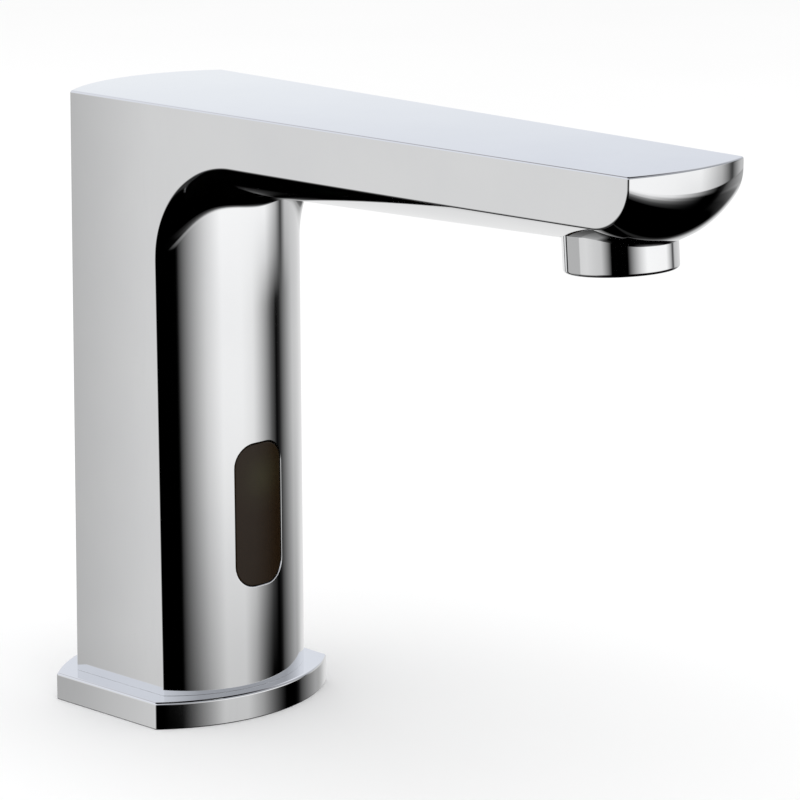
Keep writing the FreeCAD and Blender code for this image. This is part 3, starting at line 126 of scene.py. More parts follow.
# how finely the skins are divided
STAGE_STEPS = (64, 44, 90, 40, 12)  # column, bend, underside, rounding under the tip, tip
FRONT_COLUMNS = 57
BACK_ROWS, BACK_COLUMNS = 25, 41
ROUND_STEPS = 4         # across a softened edge
CORNER_STEPS = 10       # in a corner of the window's outline
OUTLINE_STEP = 2.0      # along its straight parts
SIDE_X, SIDE_Z = (-10.0, 160.0), (10.0, HEIGHT)  # grid that fills a flat side
SIDE_STEP = 5.0
SIDE_MARGIN = 2.0
HOLE_MARGIN = 0.4       # left free in the front's grid round an opening
TURN_STEPS = 128
RECESS_STEPS = 96
HOLE_STEPS = 40
BOW_STEPS = 48
FACE_ROWS, FACE_COLUMNS = 25, 15    # grid of the lens's face
FACE_END, FACE_SIDE = 6.0, 2.0      # and its distance from the outline
SETTLE_ROUNDS = 12      # rounds until a point lies on the surface
FIRST_LEVEL = 2.0       # where the search for the recess's edge starts
NUDGE = 0.01            # step for measuring a slope


# -------------------------------- mesh helpers

def material_of(piece, material):
    piece.data.materials.clear()
    piece.data.materials.append(material)


def link_piece(name, mesh, slot, *nodes, body=BODY):
    piece = bpy.data.objects.new(name, mesh)
    bpy.context.scene.collection.objects.link(piece)
    material_of(piece, MATERIALS[slot])
    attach(piece, body)
    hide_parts(*nodes)
    return piece


class Skin:
    """Collects vertices with their exact normals, and faces, in millimetres."""

    def __init__(self):
        self.points = []
        self.normals = []
        self.faces = []

    def add(self, points, normals):
        start = len(self.points)
        self.points += [tuple(map(float, point)) for point in points]
        self.normals += [tuple(map(float, normal)) for normal in normals]
        return list(range(start, start + len(points)))

    def row(self, pairs):
        """Adds vertices from pairs of a point and its normal."""
        return self.add(*zip(*pairs))

    def face(self, indices):
        clean = [index for place, index in enumerate(indices) if index != indices[place - 1]]
        if len(clean) >= 3:
            self.faces.append(clean)

    def strip(self, first, second, closed=True):
        """Quads between two rows of the same length."""
        count = len(first)
        for place in range(count if closed else count - 1):
            after = (place + 1) % count
            self.face([first[place], first[after], second[after], second[place]])

    def strips(self, rows, closed=True):
        for first, second in zip(rows, rows[1:]):
            self.strip(first, second, closed)

    def zipper(self, outer, inner, centre, plan):
        """Triangles between two loops, both seen in order round a centre in a plane."""
        def turns(loop):
            spots = [plan(self.points[index]) for index in loop]
            return [math.atan2(y - centre[1], x - centre[0]) for x, y in spots]

        outer, outer_angles = self.from_lowest(outer, turns(outer))
        inner, inner_angles = self.from_lowest(inner, turns(inner))
        # each loop closes after a full turn, and then waits for the other
        for angles in (outer_angles, inner_angles):
            angles += [angles[0] + 2 * math.pi, math.inf]
        here, there = 0, 0
        while here < len(outer) or there < len(inner):
            a, b = outer[here % len(outer)], inner[there % len(inner)]
            if outer_angles[here + 1] <= inner_angles[there + 1]:
                self.face([a, outer[(here + 1) % len(outer)], b])
                here += 1
            else:
                self.face([a, inner[(there + 1) % len(inner)], b])
                there += 1

    @staticmethod
    def from_lowest(loop, angles):
        """The loop turned anticlockwise and started at its lowest angle."""
        steps = [(after - angle + math.pi) % (2 * math.pi) - math.pi
                 for angle, after in zip(angles, angles[1:] + angles[:1])]
        if sum(steps) < 0:
            loop, angles = loop[::-1], angles[::-1]
        start = min(range(len(loop)), key=lambda place: angles[place])
        return loop[start:] + loop[:start], angles[start:] + angles[:start]

    def mesh(self, name):
        mesh = bpy.data.meshes.new(name)
        mesh.from_pydata([[value * MM for value in point] for point in self.points], [], self.faces)
        mesh.validate(verbose=False)
        mesh.update()
        # turn every face to agree with the normals given to its corners
        work = bmesh.new()
        work.from_mesh(mesh)
        work.verts.ensure_lookup_table()
        wrong = []
        for face in work.faces:
            wanted = Vector((0, 0, 0))
            for vertex in face.verts:
                wanted += Vector(self.normals[vertex.index])
            if face.normal.dot(wanted) < 0:
                wrong.append(face)
        bmesh.ops.reverse_faces(work, faces=wrong)
        for face in work.faces:
            face.smooth = True
        work.to_mesh(mesh)
        work.free()
        mesh.normals_split_custom_set_from_vertices(self.normals)
        mesh.update()
        return mesh


def unit(vectors):
    vectors = np.asarray(vectors, dtype=float)
    return vectors / np.linalg.norm(vectors, axis=-1, keepdims=True)


def between(first, second, share):
    """Unit vectors turned part of the way from the first to the second."""
    first, second = unit(first), unit(second)
    angle = np.arccos(np.clip(np.sum(first * second, axis=-1, keepdims=True), -1.0, 1.0))
    sine = np.sin(angle)
    sine = np.where(sine < 1e-9, 1.0, sine)
    blend = (np.sin((1 - share) * angle) * first + np.sin(share * angle) * second) / sine
    return unit(np.where(angle < 1e-6, first, blend))


# -------------------------------- the cast body's surface

def half_width(x):
    return BODY_WIDTH / 2 - math.tan(TAPER) * x


def rise(radius, half):
    return radius - np.sqrt(radius * radius - half * half)


def half_flat_at(z):
    return FOOT_HALF_FLAT + (HEAD_HALF_FLAT - FOOT_HALF_FLAT) * (z - FLANGE_THICK) / (
        HEIGHT - FLANGE_THICK)


ROOT_Z = HEIGHT - ROOT_EDGE
ROOT_X = half_flat_at(ROOT_Z)
ROOT_RISE = rise(FRONT_BOW, half_width(ROOT_X))
TIP_RISE = rise(FRONT_BOW, half_width(TIP_REACH))
CHORD_TIP_Z = HEIGHT - TIP_EDGE + ROOT_RISE - TIP_RISE
SLOPE = (CHORD_TIP_Z - ROOT_Z) / (TIP_REACH - ROOT_X)
LEAN = (HEAD_HALF_FLAT - FOOT_HALF_FLAT) / (HEIGHT - FLANGE_THICK)
ALONG = unit([1.0, SLOPE])               # spout's direction in the XZ plane
DOWN = np.array([ALONG[1], -ALONG[0]])   # and its underside's normal
FRONT = unit([1.0, -LEAN])               # column front's normal
FOOT_OFFSET = np.sqrt(FRONT_BOW ** 2 - half_width(FOOT_HALF_FLAT) ** 2)


CORNER = np.array([ROOT_X, ROOT_Z])


def inner_centre():
    """Centre of the bend between column and spout, along the flat sides."""
    turn = math.acos(np.clip(np.dot([LEAN, 1.0] / np.linalg.norm([LEAN, 1.0]), ALONG), -1, 1))
    stretch = INNER_CORNER * math.tan(turn / 2)
    return CORNER + ALONG * stretch + DOWN * INNER_CORNER


REACH = (inner_centre() - CORNER) / INNER_CORNER


def bow(y):
    """How far the bowed surface stands out from the sweep's path."""
    return np.sqrt(FRONT_BOW ** 2 - y * y) - FOOT_OFFSET


def bend_round(y):
    """Radius of the bend and its centre in the XZ plane: tight on the crest, wide at the sides."""
    share = np.minimum(np.abs(y) / half_width(ROOT_X + INNER_CORNER / 2), 1.0)
    widened = 1 - (1 - share ** CREST_HOLD) ** CREST_EASE
    radius = CREST_ROUND + (INNER_CORNER - CREST_ROUND) * widened
    return radius[..., None], CORNER + REACH * (bow(y) + radius)[..., None]


def column_x(y, z):
    """Column front at a height, for one distance from the middle plane."""
    return FOOT_HALF_FLAT + LEAN * (z - FLANGE_THICK) + bow(y) / FRONT[0]


def tip_x(y):
    return TIP_REACH + np.sqrt(TIP_BOW ** 2 - y * y) - math.sqrt(
        TIP_BOW ** 2 - half_width(TIP_REACH) ** 2)


def tip_round(y):
    """Radius of the rounding under the tip, and its centre in the XZ plane."""
    radius = TIP_CORNER + TIP_FULL * (1 - (y / half_width(TIP_REACH)) ** 2)
    base = CORNER + DOWN * (bow(y) - radius)[..., None]
    step = (tip_x(y) - radius - base[..., 0]) / ALONG[0]
    return radius, base + ALONG * step[..., None]


def turned(first, second, share):
    """Unit vectors in the XZ plane, turned part of the way from one to another."""
    return between(first, second, share[..., None])


# rows of the front profile: a stage, and a share of the way through it
COLUMN, BEND, UNDERSIDE, UNDER_TIP, TIP = range(len(STAGE_STEPS))
STATIONS = [(stage, step / count) for stage, count in enumerate(STAGE_STEPS)
            for step in range(count)]
STATIONS.append((TIP, 1.0))


def profile(y, low, high):
    """Points and directions of the front profile: y has one row for each station."""
    stage_of, share = np.array(STATIONS).T
    share = share[:, None] + 0 * y
    out = np.zeros(y.shape + (2,))
    along = np.zeros(y.shape + (2,))
    radius, centre = tip_round(y)
    bend, middle = bend_round(y)

    pick = stage_of == COLUMN
    end_z = (middle - FRONT * bend)[pick][..., 1]
    z = low + share[pick] * (end_z - low)
    out[pick] = np.stack([column_x(y[pick], z), z], axis=-1)
    along[pick] = np.array([-FRONT[1], FRONT[0]])

    pick = stage_of == BEND
    spin = turned(-FRONT, -DOWN, share[pick])
    out[pick] = middle[pick] + spin * bend[pick]
    along[pick] = np.stack([spin[..., 1], -spin[..., 0]], axis=-1)

    pick = stage_of == UNDERSIDE
    start = (middle - DOWN * bend)[pick]
    end = centre[pick] + DOWN * radius[pick][..., None]
    out[pick] = start + (end - start) * share[pick][..., None]
    along[pick] = ALONG

    pick = stage_of == UNDER_TIP
    spin = turned(DOWN, np.array([1.0, 0.0]), share[pick])
    out[pick] = centre[pick] + spin * radius[pick][..., None]
    along[pick] = np.stack([-spin[..., 1], spin[..., 0]], axis=-1)

    pick = stage_of == TIP
    face_x = tip_x(y)[pick]
    start_z = centre[pick][..., 1]
    out[pick] = np.stack([face_x, start_z + share[pick] * (high - start_z)], axis=-1)
    along[pick] = np.array([0.0, 1.0])
    return out, along


def surface(shares, inset, low, high):
    """Front surface at shares of the half width, less an inset for each station."""
    y = np.outer(np.ones(len(STATIONS)), shares) * BODY_WIDTH / 2
    for _ in range(SETTLE_ROUNDS):
        points, _ = profile(y, low, high)
        y = shares * (half_width(points[..., 0]) - inset[:, None])
    points, along = profile(y, low, high)
    ahead, _ = profile(y + NUDGE, low, high)
    behind, _ = profile(y - NUDGE, low, high)
    lean = (ahead - behind) / (2 * NUDGE)
    across = np.stack([lean[..., 0], np.ones(y.shape), lean[..., 1]], axis=-1)
    forward = np.stack([along[..., 0], np.zeros(y.shape), along[..., 1]], axis=-1)
    normals = unit(np.cross(across, forward))
    where = np.stack([points[..., 0], y, points[..., 1]], axis=-1)
    return where, normals


def side_normal(way):
    return np.array([math.sin(TAPER), way * math.cos(TAPER), 0.0])


def edge_fillet(edge, normals, way, radius):
    """Rounding between a surface's edge and the flat side: rows from the side to the surface."""
    side = np.broadcast_to(side_normal(way), normals.shape)
    cosine = np.sum(side * normals, axis=-1, keepdims=True)
    centre = edge - (side + normals) * radius / (1 + cosine)
    rows = []
    for step in range(ROUND_STEPS + 1):
        facing = between(side, normals, step / ROUND_STEPS)
        rows.append((centre + facing * radius, facing))
    return rows


def front_grid(low, high):
    """Front, underside and tip as one grid, with its rounded long edges."""
    none = np.zeros(len(STATIONS))
    edge, edge_normals = surface(np.array([-1.0, 1.0]), none, low, high)
    sides = [edge_fillet(edge[:, place], edge_normals[:, place], way, EDGE_ROUND)
             for place, way in enumerate((-1, 1))]
    inset = np.abs(edge[:, 0, 1]) - np.abs(sides[0][-1][0][:, 1])
    middle, normals = surface(np.linspace(-1, 1, FRONT_COLUMNS), inset, low, high)
    columns = sides[0][:-1]
    columns += [(middle[:, place], normals[:, place]) for place in range(FRONT_COLUMNS)]
    columns += sides[1][:-1][::-1]
    points = np.stack([column[0] for column in columns], axis=1)
    facing = np.stack([column[1] for column in columns], axis=1)
    # the rows at the two ends are level, so that the rims close on them
    points[0, :, 2] = low
    points[-1, :, 2] = high
    return points, facing


def back_grid(low, high):
    """Bowed back of the column with its rounded upright edges, row by row from the foot."""
    rows = []
    for z in np.linspace(low, high, BACK_ROWS):
        half_flat = half_flat_at(z)
        half = half_width(-half_flat)
        centre = -half_flat + math.sqrt(BACK_BOW ** 2 - half * half)

        def bowed(y):
            x = centre - np.sqrt(BACK_BOW ** 2 - y * y)
            normal = np.stack([(x - centre) / BACK_BOW, y / BACK_BOW, 0 * y], axis=-1)
            return np.stack([x, y, 0 * y + z], axis=-1), normal

        corners, corner_normals = bowed(np.array([-half, half]))
        ends = [edge_fillet(corners[place], corner_normals[place], way, EDGE_ROUND)
                for place, way in enumerate((-1, 1))]
        inner = abs(ends[0][-1][0][1])
        middle, normals = bowed(np.linspace(-inner, inner, BACK_COLUMNS))
        rows.append(ends[1][:-1] + list(zip(middle[::-1], normals[::-1])) + ends[0][:-1][::-1])
    points = np.array([[item[0] for item in row] for row in rows])
    facing = np.array([[item[1] for item in row] for row in rows])
    return points, facing


def rounded_outline(half_wide, half_tall, corner):
    """Rounded rectangle about the origin, with the outward directions."""
    out = []
    for quarter, (x, y) in enumerate(((1, 1), (-1, 1), (-1, -1), (1, -1))):
        for step in range(CORNER_STEPS + 1):
            angle = math.pi / 2 * (quarter + step / CORNER_STEPS)
            way = (math.cos(angle), math.sin(angle))
            out.append(((x * (half_wide - corner) + corner * way[0],
                         y * (half_tall - corner) + corner * way[1]), way))
    filled = []
    for place, (point, way) in enumerate(out):
        after, _ = out[(place + 1) % len(out)]
        filled.append((point, way))
        pieces = int(math.dist(point, after) // OUTLINE_STEP)
        for step in range(1, pieces):
            share = step / pieces
            filled.append(((point[0] + (after[0] - point[0]) * share,
                            point[1] + (after[1] - point[1]) * share), way))
    return filled


def window_outline(grow):
    """Outline of the window about its centre, grown by a distance."""
    return rounded_outline(WINDOW_WIDTH / 2 + grow, WINDOW_TALL / 2 + grow, WINDOW_CORNER + grow)


# centre of an opening and the plane it is seen in, for zipping its loops together
WINDOW_VIEW = ((0.0, SENSOR_HEIGHT), lambda point: point[1:])
RECESS_VIEW = ((AERATOR_X, 0.0), lambda point: point[:2])


def block_of(grid, inside):
    """Lowest and highest row and column of the grid points that a test picks."""
    rows, columns = np.nonzero(inside(grid))
    return rows.min() - 1, rows.max() + 1, columns.min() - 1, columns.max() + 1


def block_loop(index, block):
    """Vertices round a block of the grid, in order."""
    low_row, high_row, low_column, high_column = block
    loop = [index[low_row][column] for column in range(low_column, high_column)]
    loop += [index[row][high_column] for row in range(low_row, high_row)]
    loop += [index[high_row][column] for column in range(high_column, low_column, -1)]
    loop += [index[row][low_column] for row in range(high_row, low_row, -1)]
    return loop


def window_point(y, z, sink=0.0):
    x = column_x(np.array(y), z)
    facing = unit(np.array([FRONT[0] * math.cos(math.asin(y / FRONT_BOW)),
                            math.sin(math.asin(y / FRONT_BOW)), FRONT[1]]))
    return np.array([x - sink, y, z]), facing


def window_rows(skin):
    """Loops from the column's surface over a rounded lip into the window's opening."""
    loops = []
    for step in range(ROUND_STEPS + 1):
        angle = math.pi / 2 * step / ROUND_STEPS
        grow = WINDOW_GAP + LIP_ROUND * (1 - math.sin(angle))
        sink = LIP_ROUND * (1 - math.cos(angle))
        row = []
        for (y, z), (way_y, way_z) in window_outline(grow):
            place, facing = window_point(y, SENSOR_HEIGHT + z, sink)
            inward = np.array([0.0, -way_y, -way_z])
            row.append((place, between(facing, inward, step / ROUND_STEPS)))
        loops.append(skin.row(row))
    back = [((OPENING_BACK, y, SENSOR_HEIGHT + z), (0.0, -way_y, -way_z))
            for (y, z), (way_y, way_z) in window_outline(WINDOW_GAP)]
    loops.append(skin.row(back))
    skin.strips(loops)
    floor = skin.row([(place, (1.0, 0.0, 0.0)) for place, _ in back])
    skin.face(floor)
    skin.strip(loops[-1], floor)
    return loops[0]


AERATOR_AXIS = np.array([-math.sin(AERATOR_TILT), 0.0, math.cos(AERATOR_TILT)])
AERATOR_SIDE = np.array([math.cos(AERATOR_TILT), 0.0, math.sin(AERATOR_TILT)])
AERATOR_RIM = np.array([AERATOR_X, 0.0, AERATOR_BOTTOM])


def underside_z(x, y):
    """Height of the spout's underside at a place in plan."""
    radius, centre = tip_round(np.array(y))
    start = centre + DOWN * radius
    if x < start[0]:
        return start[1] + (x - start[0]) * SLOPE
    return centre[1] - math.sqrt(radius ** 2 - (x - centre[0]) ** 2)


def underside(x, y):
    """Height and normal of the spout's underside."""
    lean_x = (underside_z(x + NUDGE, y) - underside_z(x - NUDGE, y)) / (2 * NUDGE)
    lean_y = (underside_z(x, y + NUDGE) - underside_z(x, y - NUDGE)) / (2 * NUDGE)
    return underside_z(x, y), unit([lean_x, lean_y, -1.0])


def aerator_point(radius, angle, level):
    across = AERATOR_SIDE * math.cos(angle) + np.array([0.0, math.sin(angle), 0.0])
    return AERATOR_RIM + across * radius + AERATOR_AXIS * level, across


def recess_rows(skin):
    """Loops from the underside over a rounded lip into the collar's recess."""
    wall = COLLAR_RADIUS + COLLAR_GAP
    loops = []
    angles = [2 * math.pi * step / RECESS_STEPS for step in range(RECESS_STEPS)]
    for step in range(ROUND_STEPS + 1):
        turn = math.pi / 2 * step / ROUND_STEPS
        radius = wall + LIP_ROUND * (1 - math.sin(turn))
        row = []
        for angle in angles:
            level = FIRST_LEVEL
            for _ in range(SETTLE_ROUNDS):
                place, across = aerator_point(radius, angle, level)
                z, facing = underside(place[0], place[1])
                level += (z - place[2]) / AERATOR_AXIS[2]
            place, across = aerator_point(radius, angle, level + LIP_ROUND * (1 - math.cos(turn)))
            row.append((place, between(facing, -across, step / ROUND_STEPS)))
        loops.append(skin.row(row))
    shoulder = COLLAR_TALL + RECESS_GAP
    top = shoulder + RECESS_NECK_TALL
    for radius, level, facing in ((wall, shoulder, "in"), (wall, shoulder, "down"),
                                  (RECESS_NECK, shoulder, "down"), (RECESS_NECK, shoulder, "in"),
                                  (RECESS_NECK, top, "in"), (RECESS_NECK, top, "down")):
        row = []
        for angle in angles:
            place, across = aerator_point(radius, angle, level)
            row.append((place, -across if facing == "in" else -AERATOR_AXIS))
        loops.append(skin.row(row))
    skin.strips(loops)
    skin.face(loops[-1])
    return loops[0]


def rim_rows(skin, loop, radius, up, level):
    """Rounds a level loop over into a flat face."""
    corners = [(np.array(skin.points[index]), np.array(skin.normals[index])) for index in loop]
    start = level - up * radius
    loops = [loop]
    for step in range(1, ROUND_STEPS + 1):
        angle = math.pi / 2 * step / ROUND_STEPS
        row = []
        for place, normal in corners:
            flat = unit([normal[0], normal[1], 0.0])
            row.append(([place[0] - flat[0] * radius * (1 - math.cos(angle)),
                         place[1] - flat[1] * radius * (1 - math.cos(angle)),
                         start + up * radius * math.sin(angle)],
                        flat * math.cos(angle) + np.array([0, 0, up * math.sin(angle)])))
        loops.append(skin.row(row))
    skin.strips(loops)
    skin.face(loops[-1])


def well_inside(spot, ring, margin):
    """Whether a place is inside a closed outline and clear of its edges."""
    crossings = 0
    for start, end in zip(ring, ring[1:] + ring[:1]):
        nearest, share = intersect_point_line(spot, start, end)
        nearest = start if share < 0 else end if share > 1 else nearest
        if (Vector(nearest[:2]) - spot).length < margin:
            return False
        if (start.y > spot.y) != (end.y > spot.y):
            level = start.x + (spot.y - start.y) / (end.y - start.y) * (end.x - start.x)
            crossings += level > spot.x
    return crossings % 2 == 1


def flat_side(skin, front, back):
    """Fills a flat side between its front edge and its back edge, both from the foot up."""
    ring = front + back[::-1]
    flat = [Vector((skin.points[index][0], skin.points[index][2])) for index in ring]
    inside = []
    normal = skin.normals[front[0]]
    for x in np.arange(*SIDE_X, SIDE_STEP):
        for z in np.arange(*SIDE_Z, SIDE_STEP):
            spot = Vector((x, z))
            if well_inside(spot, flat, SIDE_MARGIN):
                inside.append(spot)
    side = 1 if normal[1] > 0 else -1
    extra = skin.add([(spot.x, side * half_width(spot.x), spot.y) for spot in inside],
                     [normal] * len(inside))
    lookup = ring + extra
    edges = [(place, (place + 1) % len(ring)) for place in range(len(ring))]
    _, _, triangles, origins, _, _ = delaunay_2d_cdt(flat + inside, edges, [], 1, 1e-5)
    for triangle in triangles:
        skin.face([lookup[origins[corner][0]] for corner in triangle])


def body_skin():
    skin = Skin()
    low = FLANGE_THICK + FOOT_ROUND
    high = HEIGHT - RIM_ROUND
    front, front_normals = front_grid(low, high)
    index = np.array([skin.add(row, facing) for row, facing in zip(front, front_normals)])
    reach_y = WINDOW_WIDTH / 2 + WINDOW_GAP + LIP_ROUND + HOLE_MARGIN
    reach_z = WINDOW_TALL / 2 + WINDOW_GAP + LIP_ROUND + HOLE_MARGIN
    wide = COLLAR_RADIUS + COLLAR_GAP + LIP_ROUND + HOLE_MARGIN
    window_block = block_of(front, lambda grid: (np.abs(grid[..., 1]) < reach_y)
                            & (np.abs(grid[..., 2] - SENSOR_HEIGHT) < reach_z))
    collar_block = block_of(front, lambda grid: (np.abs(grid[..., 1]) < wide)
                            & (np.abs(grid[..., 0] - AERATOR_X) < wide + 2 * HOLE_MARGIN)
                            & (grid[..., 2] < HEIGHT - ROOT_EDGE))
    for row in range(index.shape[0] - 1):
        for column in range(index.shape[1] - 1):
            taken = any(block[0] <= row < block[1] and block[2] <= column < block[3]
                        for block in (window_block, collar_block))
            if not taken:
                skin.face([index[row][column], index[row][column + 1],
                           index[row + 1][column + 1], index[row + 1][column]])
    skin.zipper(block_loop(index, window_block), window_rows(skin), *WINDOW_VIEW)
    skin.zipper(block_loop(index, collar_block), recess_rows(skin), *RECESS_VIEW)

    back, back_normals = back_grid(low, high)
    behind = np.array([skin.add(row, facing) for row, facing in zip(back, back_normals)])
    skin.strips([list(row) for row in behind], closed=False)

    for front_column, back_column in ((0, -1), (-1, 0)):
        flat_side(skin, list(index[:, front_column]), list(behind[:, back_column]))

    rim_rows(skin, list(index[-1]) + list(behind[-1]), RIM_ROUND, 1, HEIGHT)
    rim_rows(skin, list(index[0]) + list(behind[0]), FOOT_ROUND, -1, FLANGE_THICK)
    return skin


# -------------------------------- lathe, flange and window

def lathe(skin, profile_points):
    """Turns a closed profile of (radius, level, normal across, normal along) rows."""
    rows = []
    for radius, level, across_part, along_part in profile_points:
        row = []
        for step in range(TURN_STEPS):
            spot, across = aerator_point(radius, 2 * math.pi * step / TURN_STEPS, level)
            row.append((spot, across * across_part + AERATOR_AXIS * along_part))
        rows.append(skin.row(row))
    skin.strips(rows + rows[:1])


def rounded_profile(corners):
    """Profile of a turned piece: each corner is radius, level and rounding."""
    rows = []
    count = len(corners)
    for place, (radius, level, soft) in enumerate(corners):
        here = np.array([radius, level])
        before = np.array(corners[place - 1][:2])
        after = np.array(corners[(place + 1) % count][:2])
        arriving, leaving = unit(here - before), unit(after - here)
        first_normal = np.array([arriving[1], -arriving[0]])
        last_normal = np.array([leaving[1], -leaving[0]])
        turn = math.acos(np.clip(np.dot(arriving, leaving), -1, 1))
        stretch = soft * math.tan(turn / 2)
        sign = 1 if arriving[0] * leaving[1] - arriving[1] * leaving[0] > 0 else -1
        centre = here - arriving * stretch - sign * first_normal * soft
        for step in range(ROUND_STEPS + 1):
            facing = between(first_normal, last_normal, step / ROUND_STEPS)
            spot = centre + sign * facing * soft
            rows.append((spot[0], spot[1], facing[0], facing[1]))
    return rows


def collar_skin():
    """Smooth collar, open below, with the threaded neck that holds it."""
    skin = Skin()
    top = COLLAR_TALL + NECK_TALL
    lathe(skin, rounded_profile([
        (COLLAR_MOUTH, 0.0, 0.25), (COLLAR_RADIUS, 0.0, 0.8), (COLLAR_RADIUS, COLLAR_TALL, 0.3),
        (NECK_RADIUS, COLLAR_TALL, 0.1), (NECK_RADIUS, top, 0.2), (NECK_BORE, top, 0.1),
        (NECK_BORE, COLLAR_LIP, 0.1), (COLLAR_MOUTH, COLLAR_LIP, 0.15)]))
    return skin


def window_skin():
    """Polished lens: its face follows the column just behind the chrome."""
    skin = Skin()
    middle = LENS_ROUND * HALF_TURNED
    loops = []
    for grow, sink, tilt in ((-LENS_ROUND, LENS_SUNK, 0.0), (-middle, LENS_SUNK + middle, 0.5),
                             (0.0, LENS_SUNK + LENS_ROUND, 1.0)):
        row = []
        for (y, z), (way_y, way_z) in window_outline(grow):
            place, facing = window_point(y, SENSOR_HEIGHT + z, sink)
            row.append((place, between(facing, np.array([0.0, way_y, way_z]), tilt)))
        loops.append(skin.row(row))
    outline, lip = window_outline(0.0), window_outline(LENS_LIP)
    for shape, x, forward in ((outline, LENS_LIP_FRONT, 0.0), (outline, LENS_LIP_FRONT, 1.0),
                              (lip, LENS_LIP_FRONT, 1.0), (lip, LENS_LIP_FRONT, 0.0),
                              (lip, LENS_LIP_BACK, 0.0), (lip, LENS_LIP_BACK, -1.0)):
        sideways = 1 - abs(forward)
        loops.append(skin.row([
            ((x, y, SENSOR_HEIGHT + z), (forward, way_y * sideways, way_z * sideways))
            for (y, z), (way_y, way_z) in shape]))
    for first, second in zip(loops, loops[1:]):
        if len(first) == len(second):
            skin.strip(first, second)
        else:
            skin.zipper(second, first, *WINDOW_VIEW)
    skin.face(loops[-1])
    # the face is a grid that follows the bow, closed against its own rounded outline
    half_tall, half_wide = WINDOW_TALL / 2 - FACE_END, WINDOW_WIDTH / 2 - FACE_SIDE
    rows = [skin.row([window_point(y, SENSOR_HEIGHT + z, LENS_SUNK)
                      for y in np.linspace(-half_wide, half_wide, FACE_COLUMNS)])
            for z in np.linspace(-half_tall, half_tall, FACE_ROWS)]
    skin.strips(rows, closed=False)
    skin.zipper(loops[0], block_loop(rows, (0, FACE_ROWS - 1, 0, FACE_COLUMNS - 1)), *WINDOW_VIEW)
    return skin


def flange_plan():
    """Flange outline with rounded plan corners: places and outward directions."""
    shift = FLANGE_RIM / math.cos(TAPER)
    crest = FLANGE_HALF_FLAT + rise(FLANGE_BOW, half_width(FLANGE_HALF_FLAT) + shift)
    turns = ROUND_STEPS * 2
    out = []
    for way, sides in ((1, (-1, 1)), (-1, (1, -1))):
        centre = np.array([way * (crest - FLANGE_BOW), 0.0, 0.0])
        ends = []
        for side in sides:
            # the rounding's centre is inside both the bow and the flat side by its radius
            radius = FLANGE_BOW - FLANGE_CORNER
            base = np.array([0.0, side * (BODY_WIDTH / 2 + shift), 0.0])
            base = base - side_normal(side) * FLANGE_CORNER
            direction = np.array([math.cos(TAPER), -side * math.sin(TAPER), 0.0])
            reach = base - centre
            b = np.dot(direction, reach)
            root = math.sqrt(b * b - np.dot(reach, reach) + radius * radius)
            ends.append(base + direction * (-b + way * root))
        first, last = ends
        first_bow, last_bow = unit(first - centre), unit(last - centre)
        for middle, radius, start, end, steps, count in (
                (first, FLANGE_CORNER, side_normal(sides[0]), first_bow, range(turns), turns),
                (centre, FLANGE_BOW, first_bow, last_bow, range(BOW_STEPS + 1), BOW_STEPS),
                (last, FLANGE_CORNER, last_bow, side_normal(sides[1]), range(1, turns + 1), turns)):
            for step in steps:
                facing = between(start, end, step / count)
                out.append((middle + facing * radius, facing))
    return out


def flange_skin():
    """Flange with softened edges, and below it the gasket's groove and the holes."""
    skin = Skin()
    plan = flange_plan()
    ways = [facing for _, facing in plan]

    def level_row(radius, z, angle):
        """Row on an edge's rounding, whose direction turns from outwards to up or down."""
        inset = radius * (1 - math.cos(angle))
        row = []
        for place, facing in plan:
            spot = place - facing * inset
            row.append(((spot[0], spot[1], z),
                        facing * math.cos(angle) + np.array([0, 0, math.sin(angle)])))
        return skin.row(row)

    rows = []
    for step in range(ROUND_STEPS + 1):
        angle = math.pi / 2 * (1 - step / ROUND_STEPS)
        rows.append(level_row(FLANGE_BASE_ROUND, FLANGE_BASE_ROUND * (1 - math.sin(angle)), -angle))
    for step in range(ROUND_STEPS + 1):
        angle = math.pi / 2 * step / ROUND_STEPS
        level = FLANGE_THICK - FLANGE_TOP_ROUND * (1 - math.sin(angle))
        rows.append(level_row(FLANGE_TOP_ROUND, level, angle))
    skin.strips(rows)
    skin.face(rows[-1])

    def flat_loop(points, z):
        return skin.add([(x, y, z) for x, y in points], [(0.0, 0.0, -1.0)] * len(points))

    def wall(points, normals, top):
        skin.strip(*(skin.add([(x, y, z) for x, y in points], normals) for z in (0.0, top)))

    def fill(loops, z):
        index = flat_loop([point for loop in loops for point in loop], z)
        shape = [[Vector((x, y, 0.0)) for x, y in loop] for loop in loops]
        for triangle in tessellate_polygon(shape):
            skin.face([index[place] for place in triangle])

    outer, inner = ([tuple((place - facing * inset)[:2]) for place, facing in plan]
                    for inset in (GROOVE_EDGE, GROOVE_INSIDE))
    fill([[skin.points[index][:2] for index in rows[0]], outer], 0.0)
    wall(outer, [-way for way in ways], GROOVE_DEEP)
    fill([outer, inner], GROOVE_DEEP)
    wall(inner, ways, GROOVE_DEEP)
    angles = [2 * math.pi * step / HOLE_STEPS for step in range(HOLE_STEPS)]
    round_ways = [np.array([math.cos(angle), math.sin(angle), 0.0]) for angle in angles]
    circles = []
    for x, y, radius, depth in FLANGE_HOLES:
        circle = [(x + radius * way[0], y + radius * way[1]) for way in round_ways]
        circles.append(circle)
        wall(circle, [-way for way in round_ways], depth)
        skin.face(flat_loop(circle, depth))
    fill([inner] + circles, 0.0)
    return skin


# -------------------------------- materials

def new_material(name):
    material = bpy.data.materials.new(name)
    material.use_nodes = True
    tree = material.node_tree
    shader = tree.nodes["Principled BSDF"]
    return material, tree, shader


def object_space(tree):
    return tree.nodes.new("ShaderNodeTexCoord").outputs["Object"]


